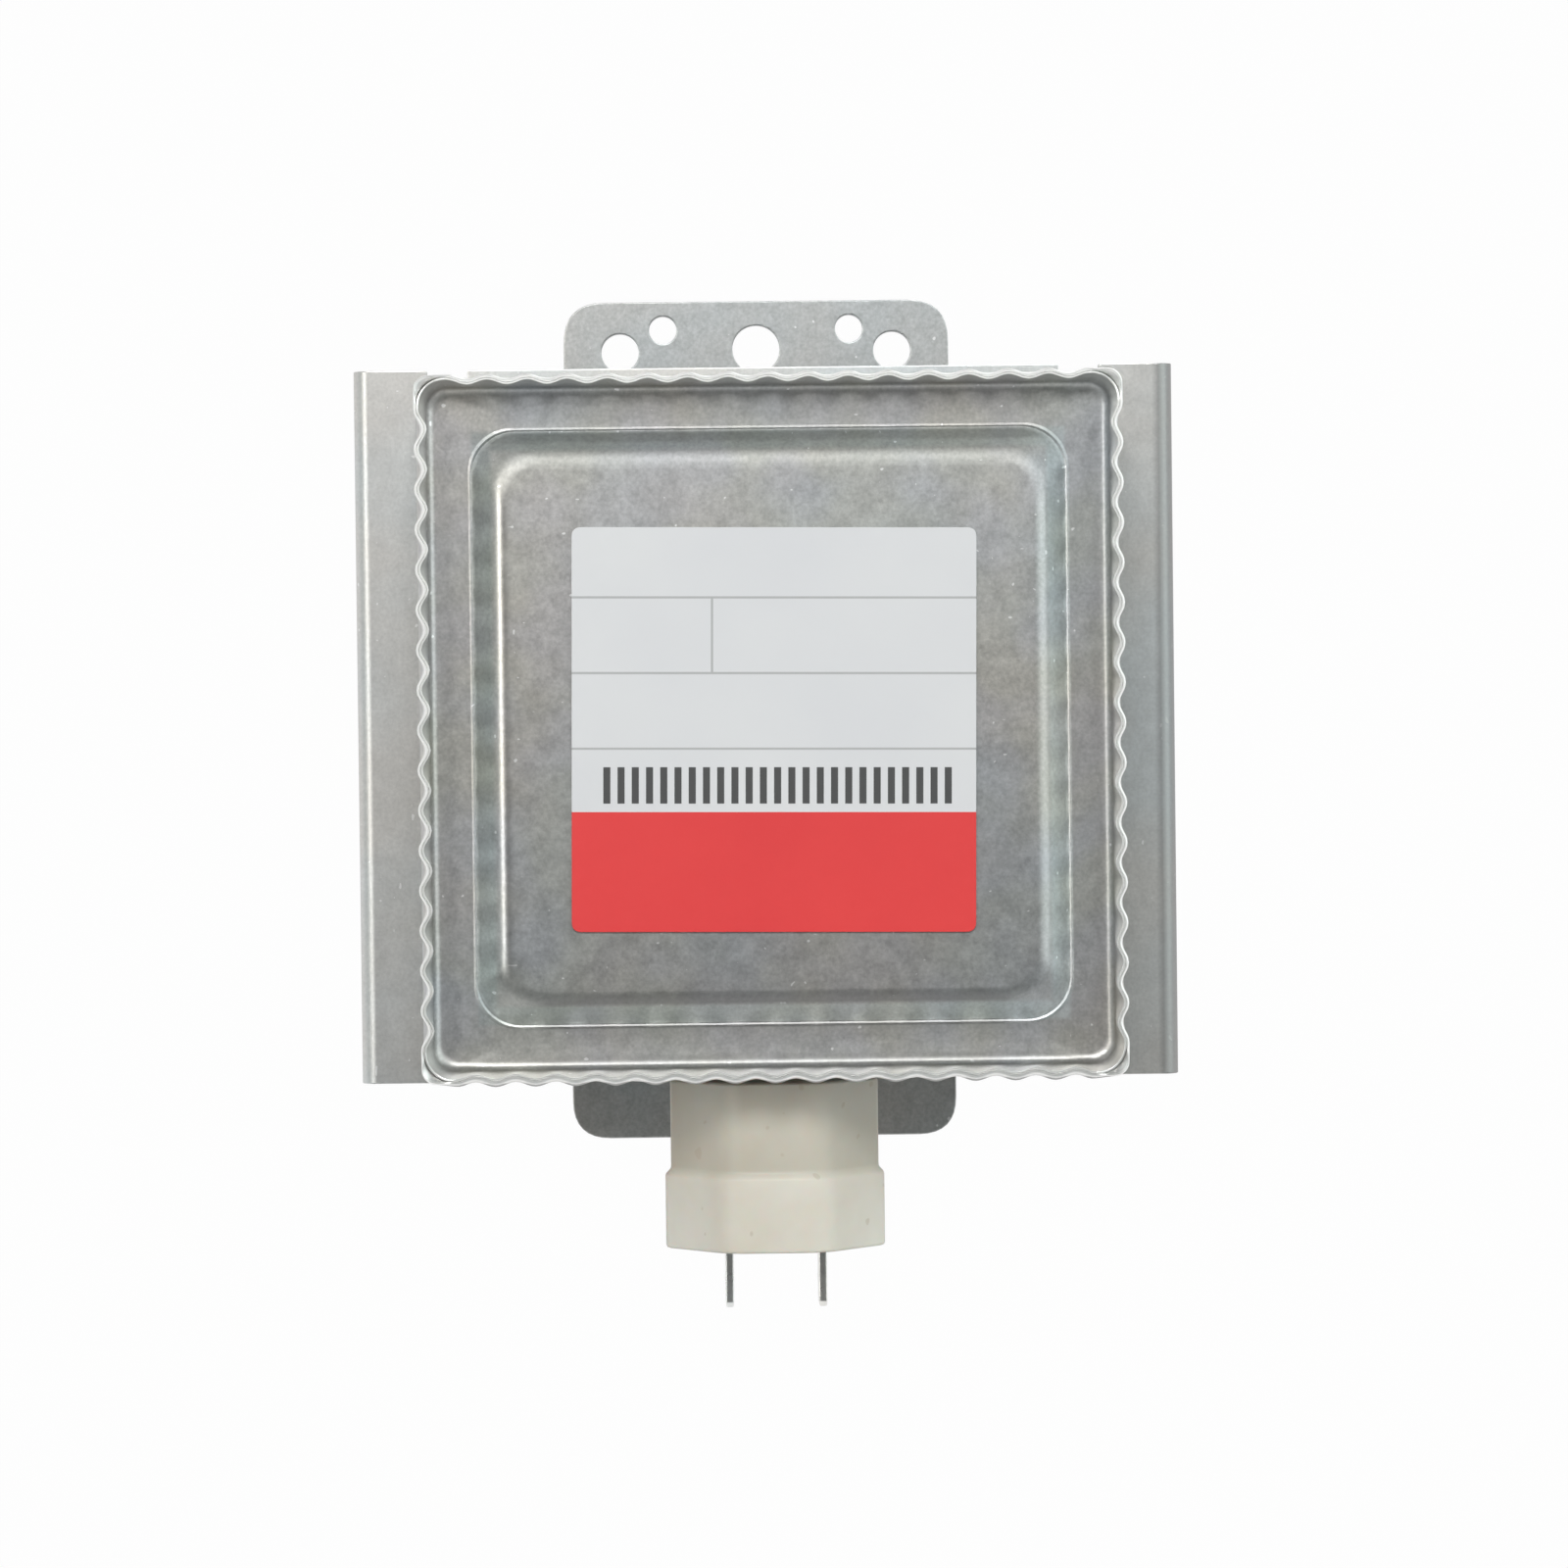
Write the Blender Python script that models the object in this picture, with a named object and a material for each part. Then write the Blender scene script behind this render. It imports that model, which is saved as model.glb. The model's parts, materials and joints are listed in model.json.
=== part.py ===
"""A magnetron of the kind that a microwave oven holds.

The antenna points along +Y from the mounting plate, whose outer face is Y = 0 at the antenna's axis.
The filter box with its crimped lid faces -Y, and the connector hangs from its -Z wall.
"""

import math

import bmesh
import bpy

MM = 0.001

# Clearance between two pieces that touch
SEAT = 0.3 * MM

# Mounting plate with its two tabs
PLATE_SHEET = 1.6 * MM
TAB_WIDTH = 48.8 * MM
TAB_REACH = 53.1 * MM
TOP_TAB_CORNER = 5.2 * MM
BOTTOM_TAB_CORNER = 4.8 * MM
PLATE_CORNER = 1.0 * MM
ANTENNA_HOLE = 12.0 * MM

# Holes of the top tab: distance from the middle, distance below the tab's edge, radius
CENTRE_HOLE_DROP = 6.1 * MM
CENTRE_HOLE = 3.0 * MM
INNER_HOLE_OFFSET = 11.8 * MM
INNER_HOLE_DROP = 3.6 * MM
INNER_HOLE = 1.75 * MM
OUTER_HOLE_OFFSET = 17.25 * MM
OUTER_HOLE_DROP = 6.4 * MM
OUTER_HOLE = 2.375 * MM

# Yoke frame, a U of bent sheet
YOKE_WIDTH = 96.6 * MM
YOKE_HEIGHT = 84.0 * MM
YOKE_SHEET = 1.6 * MM
YOKE_BEND = 2.4 * MM
STEM_HOLE = 12.0 * MM
NOTCH_OFFSET = 37.2 * MM
NOTCH_WIDTH = 4.8 * MM
NOTCH_DEPTH = 3.2 * MM
TENON_OFFSET = 22.0 * MM
TENON_WIDTH = 10.0 * MM
TENON_SET = 0.2 * MM

# Ring magnets
MAGNET_RADIUS = 27.5 * MM
MAGNET_BORE = 10.5 * MM
MAGNET_THICKNESS = 12.5 * MM
MAGNET_CHAMFER = 0.6 * MM

# Anode with its vanes and straps
ANODE_RADIUS = 20.0 * MM
ANODE_BORE = 17.5 * MM
ANODE_LENGTH = 23.4 * MM
VANES = 10
VANE_THICKNESS = 2.0 * MM
VANE_HEIGHT = 9.5 * MM
VANE_TIP = 4.6 * MM
STRAP_WIDTH = 1.1 * MM
STRAP_HEIGHT = 1.3 * MM
INNER_STRAP = 6.4 * MM
OUTER_STRAP = 8.1 * MM
STRAP_RELIEF = 0.5 * MM

# Pole pieces
POLE_SHEET = 1.6 * MM
POLE_RIM = 18.3 * MM
POLE_DISH_START = 11.5 * MM
POLE_HOLE = 4.8 * MM
POLE_DISH_DEPTH = 3.2 * MM
ROD_HOLE = 2.5 * MM
ROD_HOLE_OFFSET = 8.4 * MM

# Sheet seals, whose necks pass through the magnets
SEAL_SHEET = 0.5 * MM
SEAL_FLANGE = 19.0 * MM
SEAL_NECK = 9.9 * MM
SEAL_NECK_WALL = 0.6 * MM
ANTENNA_NECK_REACH = 3.0 * MM
STEM_NECK_REACH = 1.8 * MM

# Antenna end
ANTENNA_CERAMIC_RADIUS = 9.7 * MM
ANTENNA_CERAMIC_BORE = 6.5 * MM
ANTENNA_CERAMIC_LENGTH = 9.0 * MM
EXHAUST_FLANGE = 8.8 * MM
EXHAUST_COLLAR = 6.9 * MM
EXHAUST_COLLAR_HEIGHT = 4.0 * MM
EXHAUST_SHEET = 0.5 * MM
EXHAUST_TUBE = 2.6 * MM
EXHAUST_TUBE_REACH = 10.0 * MM
ANTENNA_CAP_WALL = 0.6 * MM
ANTENNA_CAP_HEIGHT = 15.0 * MM
ANTENNA_CAP_ROUND = 1.2 * MM
ROD_RADIUS = 1.2 * MM

# Mesh gasket and its holder on the mounting plate
HOLDER_BORE = 11.0 * MM
HOLDER_SHEET = 0.4 * MM
HOLDER_FOOT = 15.5 * MM
HOLDER_HEIGHT = 3.9 * MM
GASKET_RADIUS = 18.0 * MM
GASKET_HEIGHT = 4.4 * MM
GASKET_EDGE = 1.2 * MM

# Cathode
FILAMENT_RADIUS = 1.9 * MM
FILAMENT_WIRE = 0.25 * MM
FILAMENT_TURNS = 7
HAT_RADIUS = 3.4 * MM
HAT_THICKNESS = 1.2 * MM
LEAD_RADIUS = 0.6 * MM
LEAD_OFFSET = 2.5 * MM

# Stem
STEM_RADIUS = 8.0 * MM
STEM_FOOT = 9.7 * MM
STEM_FOOT_HEIGHT = 2.2 * MM
STEM_LENGTH = 16.0 * MM
STEM_TERMINAL_RADIUS = 2.0 * MM
STEM_TERMINAL_SHEET = 0.6 * MM
LEAD_END = 1.7 * MM

# Cooling fins
FINS = 6
FIN_SHEET = 0.6 * MM
FIN_PITCH = 3.9 * MM
FIN_INSET = 0.7 * MM
FIN_HEIGHT = 80.0 * MM
FIN_COLLAR_WALL = 0.6 * MM
FIN_STEP_START = 30.0 * MM
FIN_STEP_RUN = 3.0 * MM
FIN_SIDE_PITCH = 8.2 * MM
FIN_LIP = 3.2 * MM

# Filter box and its lid, crimped together
BOX_HALF = 40.4 * MM
BOX_SHEET = 0.5 * MM
BOX_DEPTH = 33.3 * MM
BOX_CORNER = 2.0 * MM
BOX_BEND = 1.5 * MM
BOX_HOLE = 11.5 * MM
WAVE_PITCH = 4.5 * MM
WAVE_DEPTH = 0.7 * MM
WAVE_FADE = 6.0 * MM
BEND_WAVE_DEPTH = 0.5 * MM
LID_SHEET = 0.5 * MM
LID_CORNER = 3.2 * MM
LID_BEND = 1.3 * MM
LID_RIM = 4.0 * MM
RELIEF_HALF = 33.7 * MM
RELIEF_CORNER = 5.0 * MM
RELIEF_HEIGHT = 2.2 * MM
RELIEF_EASE_RUN = 0.9 * MM
RELIEF_EASE_RISE = 0.3 * MM
PANEL_HALF = 30.5 * MM
PANEL_CORNER = 4.4 * MM

# Label on the lid
LABEL_SIDE = 45.5 * MM
LABEL_CORNER = 1.1 * MM
LABEL_SHEET = 0.15 * MM
LABEL_DROP = 0.4 * MM
LABEL_FIELD = 13.5 * MM

# Feedthrough capacitor and connector, middle of the box's depth
CONNECTOR_FROM_MOUTH = 16.5 * MM
HOUSING_NECK_WIDTH = 18.0 * MM
HOUSING_NECK_DEPTH = 10.5 * MM
HOUSING_STEM_WIDTH = 23.9 * MM
HOUSING_STEM_DEPTH = 17.8 * MM
HOUSING_STEM_LENGTH = 10.3 * MM
HOUSING_CAP_WIDTH = 25.2 * MM
HOUSING_CAP_DEPTH = 19.0 * MM
HOUSING_CAP_LENGTH = 8.1 * MM
HOUSING_STEP = 0.5 * MM
HOUSING_FLAT = 11.0 * MM
HOUSING_SIDE_FLAT = 1.0 * MM
HOUSING_EDGE = 0.4 * MM
GROUND_WIDTH = 36.0 * MM
GROUND_DEPTH = 19.0 * MM
GROUND_SHEET = 0.8 * MM
GROUND_CORNER = 2.0 * MM
CAPACITOR_WIDTH = 22.0 * MM
CAPACITOR_DEPTH = 12.0 * MM
CAPACITOR_HEIGHT = 6.0 * MM
BLADE_OFFSET = 5.35 * MM
BLADE_THICKNESS = 1.0 * MM
BLADE_WIDTH = 6.35 * MM
BLADE_REACH = 6.8 * MM
BLADE_INNER_REACH = 3.0 * MM
BLADE_TAPER = 1.2 * MM
BLADE_HOLE = 0.8 * MM

# Choke coils on their cores
COIL_OFFSET = 15.0 * MM
COIL_RADIUS = 3.6 * MM
COIL_WIRE = 0.7 * MM
COIL_TURNS = 6
COIL_LENGTH = 22.0 * MM
COIL_TOP = 9.0 * MM
CORE_OVERHANG = 0.5 * MM
CORE_CLEARANCE = 0.4 * MM

# Rivets
RIVET_SHANK = 1.6 * MM
RIVET_HEAD = 2.4 * MM
RIVET_HEAD_HEIGHT = 0.9 * MM
RIVET_EDGE = 0.4 * MM
BOX_RIVET_INSET = 9.4 * MM
GROUND_RIVET_OFFSET = 15.0 * MM

# Facets: steps round a large outer piece, an inner piece, a small one, a corner, one wave of the rim
TURN_STEPS = 24
INNER_STEPS = 20
SMALL_STEPS = 12
CORNER_STEPS = 4
WAVE_STEPS = 4
SMOOTH_ANGLE = math.radians(35)

# How far a cutter runs past the face that it cuts
PAST = 1.0 * MM

# Faces along the stack, from the mounting face back to the lid
PLATE_BACK = -PLATE_SHEET
MAGNET_A_FRONT = PLATE_BACK - SEAT
MAGNET_A_BACK = MAGNET_A_FRONT - MAGNET_THICKNESS
SEAL_A_FRONT = MAGNET_A_BACK - SEAT
ANODE_FRONT = SEAL_A_FRONT - SEAL_SHEET - SEAT
ANODE_BACK = ANODE_FRONT - ANODE_LENGTH
ANODE_MIDDLE = (ANODE_FRONT + ANODE_BACK) / 2
SEAL_B_BACK = ANODE_BACK - SEAT - SEAL_SHEET
MAGNET_B_FRONT = SEAL_B_BACK - SEAT
MAGNET_B_BACK = MAGNET_B_FRONT - MAGNET_THICKNESS
YOKE_INSIDE = MAGNET_B_BACK - SEAT
YOKE_BACK = YOKE_INSIDE - YOKE_SHEET
BOX_BACK = YOKE_BACK - SEAT
BOX_INSIDE = BOX_BACK - BOX_SHEET
BOX_MOUTH = BOX_BACK - BOX_DEPTH
LID_BAND = BOX_MOUTH + LID_RIM
PANEL_FACE = LID_BAND - RELIEF_HEIGHT

# Sizes that follow from the ones above
YOKE_HALF = YOKE_WIDTH / 2
WALL_INSIDE = YOKE_HALF - YOKE_SHEET
LID_HALF = BOX_HALF - BOX_SHEET - SEAT
WAVES = int(2 * (LID_HALF - LID_CORNER) / WAVE_PITCH)
WAVE_REACH = WAVES * WAVE_PITCH / 2
FILAMENT_LENGTH = VANE_HEIGHT - 2 * SEAT
STEM_END = BOX_INSIDE - STEM_NECK_REACH - SEAT - STEM_LENGTH
TERMINAL_FACE = STEM_END - SEAT - STEM_TERMINAL_SHEET
CONNECTOR_Y = BOX_MOUTH + CONNECTOR_FROM_MOUTH
GROUND_TOP = -BOX_HALF + BOX_SHEET + SEAT + GROUND_SHEET
CAPACITOR_TOP = GROUND_TOP + SEAT + CAPACITOR_HEIGHT
HOUSING_TOP = -BOX_HALF - SEAT
HOUSING_END = HOUSING_TOP - HOUSING_STEM_LENGTH - HOUSING_STEP - HOUSING_CAP_LENGTH - HOUSING_EDGE
RIVET_HOLE = RIVET_SHANK + SEAT
BOX_RIVET_OFFSET = BOX_HALF - BOX_RIVET_INSET

for leftover in list(bpy.data.objects):
    bpy.data.objects.remove(leftover)

ROOT = bpy.data.objects.new("magnetron", None)
bpy.context.scene.collection.objects.link(ROOT)


def material(name, colour, roughness, metallic):
    made = bpy.data.materials.new(name)
    made.use_nodes = True
    shader = made.node_tree.nodes["Principled BSDF"]
    shader.inputs["Base Color"].default_value = (*colour, 1.0)
    shader.inputs["Roughness"].default_value = roughness
    shader.inputs["Metallic"].default_value = metallic
    return made


def arc(centre, radii, start, end, steps):
    """Points of an elliptical arc about centre, its angles in quarter turns."""
    points = []
    for step in range(steps + 1):
        angle = (start + (end - start) * step / steps) * math.tau / 4
        across = centre[0] + radii[0] * math.cos(angle)
        up = centre[1] + radii[1] * math.sin(angle)
        points.append((across, up))
    return points


def rounded_rectangle(width, height, radii):
    """A rectangle about the origin with elliptical corners."""
    points = []
    for quarter, (side, rise) in enumerate(((1, 1), (-1, 1), (-1, -1), (1, -1))):
        centre = (side * (width / 2 - radii[0]), rise * (height / 2 - radii[1]))
        points += arc(centre, radii, quarter, quarter + 1, CORNER_STEPS)
    return points


def square(half, radius):
    return rounded_rectangle(2 * half, 2 * half, (radius, radius))


def divided_square(half, radius):
    """A rounded square with a point on its sides level with each crest of the rim."""
    crests = [step * WAVE_PITCH - WAVE_REACH for step in range(WAVES + 1)]
    side = [(half, along) for along in crests if abs(along) < half - radius]
    return repeated_side(side, half, radius)


def crimped_square(half, radius, depth):
    """A rounded square whose sides are pressed in by a row of waves."""
    side = []
    for step in range(WAVES * WAVE_STEPS + 1):
        along = step / WAVE_STEPS * WAVE_PITCH
        pressed = depth * (1 - math.cos(math.tau * along / WAVE_PITCH)) / 2
        side.append((half - pressed, along - WAVE_REACH))
    return repeated_side(side, half, radius)


def repeated_side(side, half, radius):
    """One side of a square and the corner after it, four times round."""
    side = side + arc((half - radius, half - radius), (radius, radius), 0, 1, CORNER_STEPS)
    outline = []
    for _ in range(4):
        outline += side
        side = [(-up, across) for across, up in side]
    return outline


def strip_outline(path, sheet):
    """The closed section of a sheet bent along the open path down its middle."""
    sides = ([], [])
    for index, point in enumerate(path):
        before = path[max(index - 1, 0)]
        after = path[min(index + 1, len(path) - 1)]
        came = math.atan2(point[1] - before[1], point[0] - before[0])
        goes = math.atan2(after[1] - point[1], after[0] - point[0])
        if index == 0:
            came = goes
        if index == len(path) - 1:
            goes = came
        turn = math.remainder(goes - came, math.tau)
        normal = came + turn / 2 + math.tau / 4
        reach = sheet / 2 / math.cos(turn / 2)
        for side, points in zip((1, -1), sides):
            across = point[0] + side * reach * math.cos(normal)
            along = point[1] + side * reach * math.sin(normal)
            points.append((across, along))
    return sides[0] + sides[1][::-1]


def ring_of(bm, outline, along, axis="Y"):
    """Vertices of an outline laid square to an axis."""
    spots = {
        "X": lambda first, second: (along, first, second),
        "Y": lambda first, second: (first, along, second),
        "Z": lambda first, second: (first, second, along),
    }
    return [bm.verts.new(spots[axis](*point)) for point in outline]


def add_prism(bm, outline, low, high, axis="Y"):
    """A closed outline pushed from low to high along an axis."""
    add_loft(bm, [(outline, low), (outline, high)], axis)


def add_loft(bm, sections, axis="Y"):
    """A closed body through sections that all have the same number of points."""
    rings = [ring_of(bm, outline, along, axis) for outline, along in sections]
    bm.faces.new(rings[0])
    bm.faces.new(rings[-1])
    for ring, following in zip(rings, rings[1:]):
        for index, vertex in enumerate(ring):
            after = (index + 1) % len(ring)
            bm.faces.new((vertex, ring[after], following[after], following[index]))


def add_turned(bm, profile, steps, centre=(0, 0), axis="Y"):
    """A closed profile of (radius, along) points turned about an axis through centre."""
    rings = []
    for radius, along in profile:
        if radius == 0:
            rings.append(ring_of(bm, [centre], along, axis) * steps)
            continue
        circle = arc(centre, (radius, radius), 0, 4, steps)[:-1]
        rings.append(ring_of(bm, circle, along, axis))
    for ring, following in zip(rings, rings[1:] + rings[:1]):
        for step in range(steps):
            after = (step + 1) % steps
            corners = (ring[step], ring[after], following[after], following[step])
            corners = list(dict.fromkeys(corners))
            if len(corners) > 2:
                bm.faces.new(corners)


def add_cylinder(bm, radius, low, high, steps, centre=(0, 0), axis="Y"):
    add_turned(bm, [(0, low), (radius, low), (radius, high), (0, high)], steps, centre, axis)


def skin(bm, ring, following):
    """Faces between two closed rings round the Y axis that may differ in their number of points."""
    turned = []
    for vertices in (ring, following):
        angles = [
            (math.atan2(vertex.co.z, vertex.co.x) + math.tau / 8) % math.tau
            for vertex in vertices
        ]
        first = angles.index(min(angles))
        vertices = vertices[first:] + vertices[:first]
        angles = angles[first:] + angles[:first]
        turned.append((vertices + vertices[:1], angles + [angles[0] + math.tau]))
    (near, near_angles), (far, far_angles) = turned
    i = 0
    j = 0
    while i < len(near) - 1 or j < len(far) - 1:
        step_near = j == len(far) - 1
        if i < len(near) - 1 and not step_near:
            step_near = near_angles[i + 1] <= far_angles[j + 1]
        if step_near:
            bm.faces.new((near[i], near[i + 1], far[j]))
            i += 1
        else:
            bm.faces.new((near[i], far[j + 1], far[j]))
            j += 1


def link(name, data):
    made = bpy.data.objects.new(name, data)
    bpy.context.scene.collection.objects.link(made)
    return made


def mesh_of(name, bm, look):
    bmesh.ops.recalc_face_normals(bm, faces=bm.faces)
    mesh = bpy.data.meshes.new(name)
    bm.to_mesh(mesh)
    bm.free()
    mesh.shade_smooth()
    mesh.set_sharp_from_angle(angle=SMOOTH_ANGLE)
    if look:
        mesh.materials.append(look)
    return mesh


def place_mesh(name, mesh, place=(0, 0, 0), turn=(0, 0, 0)):
    made = link(name, mesh)
    made.location = place
    made.rotation_euler = turn
    made.parent = ROOT
    return made


def piece(name, bm, look, place=(0, 0, 0)):
    return place_mesh(name, mesh_of(name, bm, look), place)


def wire(name, points, radius, look, resolution):
    """A round wire along a list of points."""
    curve = bpy.data.curves.new(name, "CURVE")
    curve.dimensions = "3D"
    curve.bevel_depth = radius
    curve.bevel_resolution = resolution
    curve.use_fill_caps = True
    spline = curve.splines.new("POLY")
    spline.points.add(len(points) - 1)
    for spot, point in zip(spline.points, points):
        spot.co = (*point, 1)
    curve.materials.append(look)
    made = link(name, curve)
    made.parent = ROOT
    return made


def boolean(target, bm, operation):
    """Cuts the bmesh from the target, or joins it to the target, by a hidden helper."""
    helper = link(f"{operation.lower()}_{target.name}", mesh_of("helper", bm, None))
    helper.parent = ROOT
    helper.hide_render = True
    helper.display_type = "WIRE"
    modifier = target.modifiers.new(operation.title(), "BOOLEAN")
    modifier.operation = operation
    modifier.solver = "EXACT"
    modifier.object = helper


def cut(target, bm):
    boolean(target, bm, "DIFFERENCE")


def join(target, bm):
    boolean(target, bm, "UNION")


ZINC = material("zinc_plate", (0.47, 0.48, 0.48), 0.38, 1.0)
DARK_ZINC = material("dull_zinc_plate", (0.36, 0.36, 0.36), 0.45, 1.0)
ALUMINIUM = material("aluminium", (0.74, 0.75, 0.76), 0.35, 1.0)
COPPER = material("copper", (0.72, 0.36, 0.22), 0.35, 1.0)
IRON = material("iron", (0.42, 0.41, 0.40), 0.4, 1.0)
FERRITE = material("ferrite", (0.04, 0.04, 0.045), 0.6, 0.0)
CERAMIC = material("ceramic", (0.83, 0.79, 0.74), 0.5, 0.0)
TUNGSTEN = material("tungsten", (0.30, 0.30, 0.31), 0.45, 1.0)
MESH = material("wire_mesh", (0.55, 0.52, 0.46), 0.5, 1.0)
CREAM = material("cream_plastic", (0.66, 0.62, 0.53), 0.5, 0.0)
PAPER = material("label_white", (0.72, 0.72, 0.74), 0.5, 0.0)
RED = material("label_red", (0.76, 0.055, 0.055), 0.5, 0.0)


def plate_outline():
    """The mounting plate: a body as wide as the yoke, a tab above and a tab below."""
    body = (YOKE_HALF - PLATE_CORNER, YOKE_HEIGHT / 2 - PLATE_CORNER)
    corner = (PLATE_CORNER, PLATE_CORNER)
    tab = TAB_WIDTH / 2
    edge = YOKE_HEIGHT / 2
    top = (TOP_TAB_CORNER, TOP_TAB_CORNER)
    bottom = (BOTTOM_TAB_CORNER, BOTTOM_TAB_CORNER)
    high = (tab - TOP_TAB_CORNER, TAB_REACH - TOP_TAB_CORNER)
    low = (tab - BOTTOM_TAB_CORNER, TAB_REACH - BOTTOM_TAB_CORNER)
    points = arc(body, corner, 0, 1, CORNER_STEPS) + [(tab, edge)]
    points += arc(high, top, 0, 1, 2 * CORNER_STEPS)
    points += arc((-high[0], high[1]), top, 1, 2, 2 * CORNER_STEPS) + [(-tab, edge)]
    points += arc((-body[0], body[1]), corner, 1, 2, CORNER_STEPS)
    points += arc((-body[0], -body[1]), corner, 2, 3, CORNER_STEPS) + [(-tab, -edge)]
    points += arc((-low[0], -low[1]), bottom, 2, 3, 2 * CORNER_STEPS)
    points += arc((low[0], -low[1]), bottom, 3, 4, 2 * CORNER_STEPS) + [(tab, -edge)]
    points += arc((body[0], -body[1]), corner, 3, 4, CORNER_STEPS)
    return points


def box_outline(left, right, low, high):
    return [(left, low), (right, low), (right, high), (left, high)]


def mounting_plate():
    bm = bmesh.new()
    add_prism(bm, plate_outline(), PLATE_BACK, 0)
    plate = piece("mounting_plate", bm, DARK_ZINC)
    holes = bmesh.new()
    back = PLATE_BACK - PAST
    add_cylinder(holes, ANTENNA_HOLE, back, PAST, TURN_STEPS)
    spots = [(0, CENTRE_HOLE_DROP, CENTRE_HOLE)]
    for side in (-1, 1):
        spots.append((side * INNER_HOLE_OFFSET, INNER_HOLE_DROP, INNER_HOLE))
        spots.append((side * OUTER_HOLE_OFFSET, OUTER_HOLE_DROP, OUTER_HOLE))
    for across, drop, radius in spots:
        add_cylinder(holes, radius, back, PAST, SMALL_STEPS, (across, TAB_REACH - drop))
    inside = WALL_INSIDE - SEAT
    reach = TENON_WIDTH / 2 + SEAT
    for side in (-1, 1):
        left, right = sorted((side * inside, side * (YOKE_HALF + PAST)))
        for rise in (-TENON_OFFSET, TENON_OFFSET):
            slot = box_outline(left, right, rise - reach, rise + reach)
            add_prism(holes, slot, back, PAST)
    cut(plate, holes)


def yoke_frame():
    wall = YOKE_HALF - YOKE_SHEET / 2
    bend = (YOKE_HALF - YOKE_BEND, YOKE_BACK + YOKE_BEND)
    radii = (YOKE_BEND - YOKE_SHEET / 2, YOKE_BEND - YOKE_SHEET / 2)
    path = [(wall, -TENON_SET)] + arc(bend, radii, 4, 3, CORNER_STEPS)
    path += arc((-bend[0], bend[1]), radii, 3, 2, CORNER_STEPS) + [(-wall, -TENON_SET)]
    top = YOKE_HEIGHT / 2
    bm = bmesh.new()
    add_prism(bm, strip_outline(path, YOKE_SHEET), -top, top, "Z")
    yoke = piece("yoke_frame", bm, ZINC)
    cuts = bmesh.new()
    back = YOKE_BACK - PAST
    front = YOKE_INSIDE + PAST
    add_cylinder(cuts, STEM_HOLE, back, front, TURN_STEPS)
    for across in (-BOX_RIVET_OFFSET, BOX_RIVET_OFFSET):
        add_cylinder(cuts, RIVET_HOLE, back, front, SMALL_STEPS, (across, 0))
    half_notch = NOTCH_WIDTH / 2
    for across in (-NOTCH_OFFSET, NOTCH_OFFSET):
        sides = (across - half_notch, across + half_notch)
        add_prism(cuts, box_outline(*sides, top - NOTCH_DEPTH, top + PAST), back, front)
    reach = YOKE_HALF + PAST
    inner = TENON_OFFSET - TENON_WIDTH / 2
    outer = TENON_OFFSET + TENON_WIDTH / 2
    for low, high in ((-top - PAST, -outer), (-inner, inner), (outer, top + PAST)):
        shoulder = box_outline(-reach, reach, low, high)
        add_prism(cuts, shoulder, PLATE_BACK - SEAT, PAST)
    cut(yoke, cuts)


def magnets():
    edge = MAGNET_RADIUS - MAGNET_CHAMFER
    half = MAGNET_THICKNESS / 2
    side = half - MAGNET_CHAMFER
    profile = [(MAGNET_BORE, -half), (edge, -half), (MAGNET_RADIUS, -side)]
    profile += [(radius, -along) for radius, along in reversed(profile)]
    bm = bmesh.new()
    add_turned(bm, profile, TURN_STEPS)
    mesh = mesh_of("ring_magnet", bm, FERRITE)
    place_mesh("magnet_antenna_side", mesh, (0, MAGNET_A_FRONT - half, 0))
    place_mesh("magnet_stem_side", mesh, (0, MAGNET_B_FRONT - half, 0))


def anode_cylinder():
    half = ANODE_LENGTH / 2
    seat = POLE_RIM + SEAT
    floor = half - POLE_SHEET - SEAT
    profile = [(ANODE_BORE, -floor), (seat, -floor), (seat, -half), (ANODE_RADIUS, -half)]
    profile += [(radius, -along) for radius, along in reversed(profile)]
    bm = bmesh.new()
    add_turned(bm, profile, INNER_STEPS)
    piece("anode_cylinder", bm, COPPER, (0, ANODE_MIDDLE, 0))


def vane_mesh(name, side):
    """A vane seen from the side. The inner ring is joined to it on the end that side gives."""
    top = VANE_HEIGHT / 2
    near = INNER_STRAP - STRAP_WIDTH / 2 - SEAT
    middle = (INNER_STRAP + OUTER_STRAP) / 2
    far = OUTER_STRAP + STRAP_WIDTH / 2 + SEAT
    joined = top - STRAP_HEIGHT - SEAT
    clear = joined - STRAP_RELIEF
    root = ANODE_BORE - SEAT
    outline = [(VANE_TIP, -top), (near, -top), (near, -clear), (middle, -clear)]
    outline += [(middle, -joined), (far, -joined), (far, -top), (root, -top), (root, top)]
    outline += [(far, top), (far, clear), (middle, clear), (middle, joined)]
    outline += [(near, joined), (near, top), (VANE_TIP, top)]
    bm = bmesh.new()
    points = [(radius, side * along) for radius, along in outline]
    add_prism(bm, points, -VANE_THICKNESS / 2, VANE_THICKNESS / 2, "Z")
    return mesh_of(name, bm, COPPER)


def vanes():
    meshes = (vane_mesh("even_vane", 1), vane_mesh("odd_vane", -1))
    for index in range(VANES):
        turn = (0, math.tau * index / VANES, 0)
        name = f"anode_vane_{index + 1:02d}"
        place_mesh(name, meshes[index % 2], (0, ANODE_MIDDLE, 0), turn)


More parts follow.
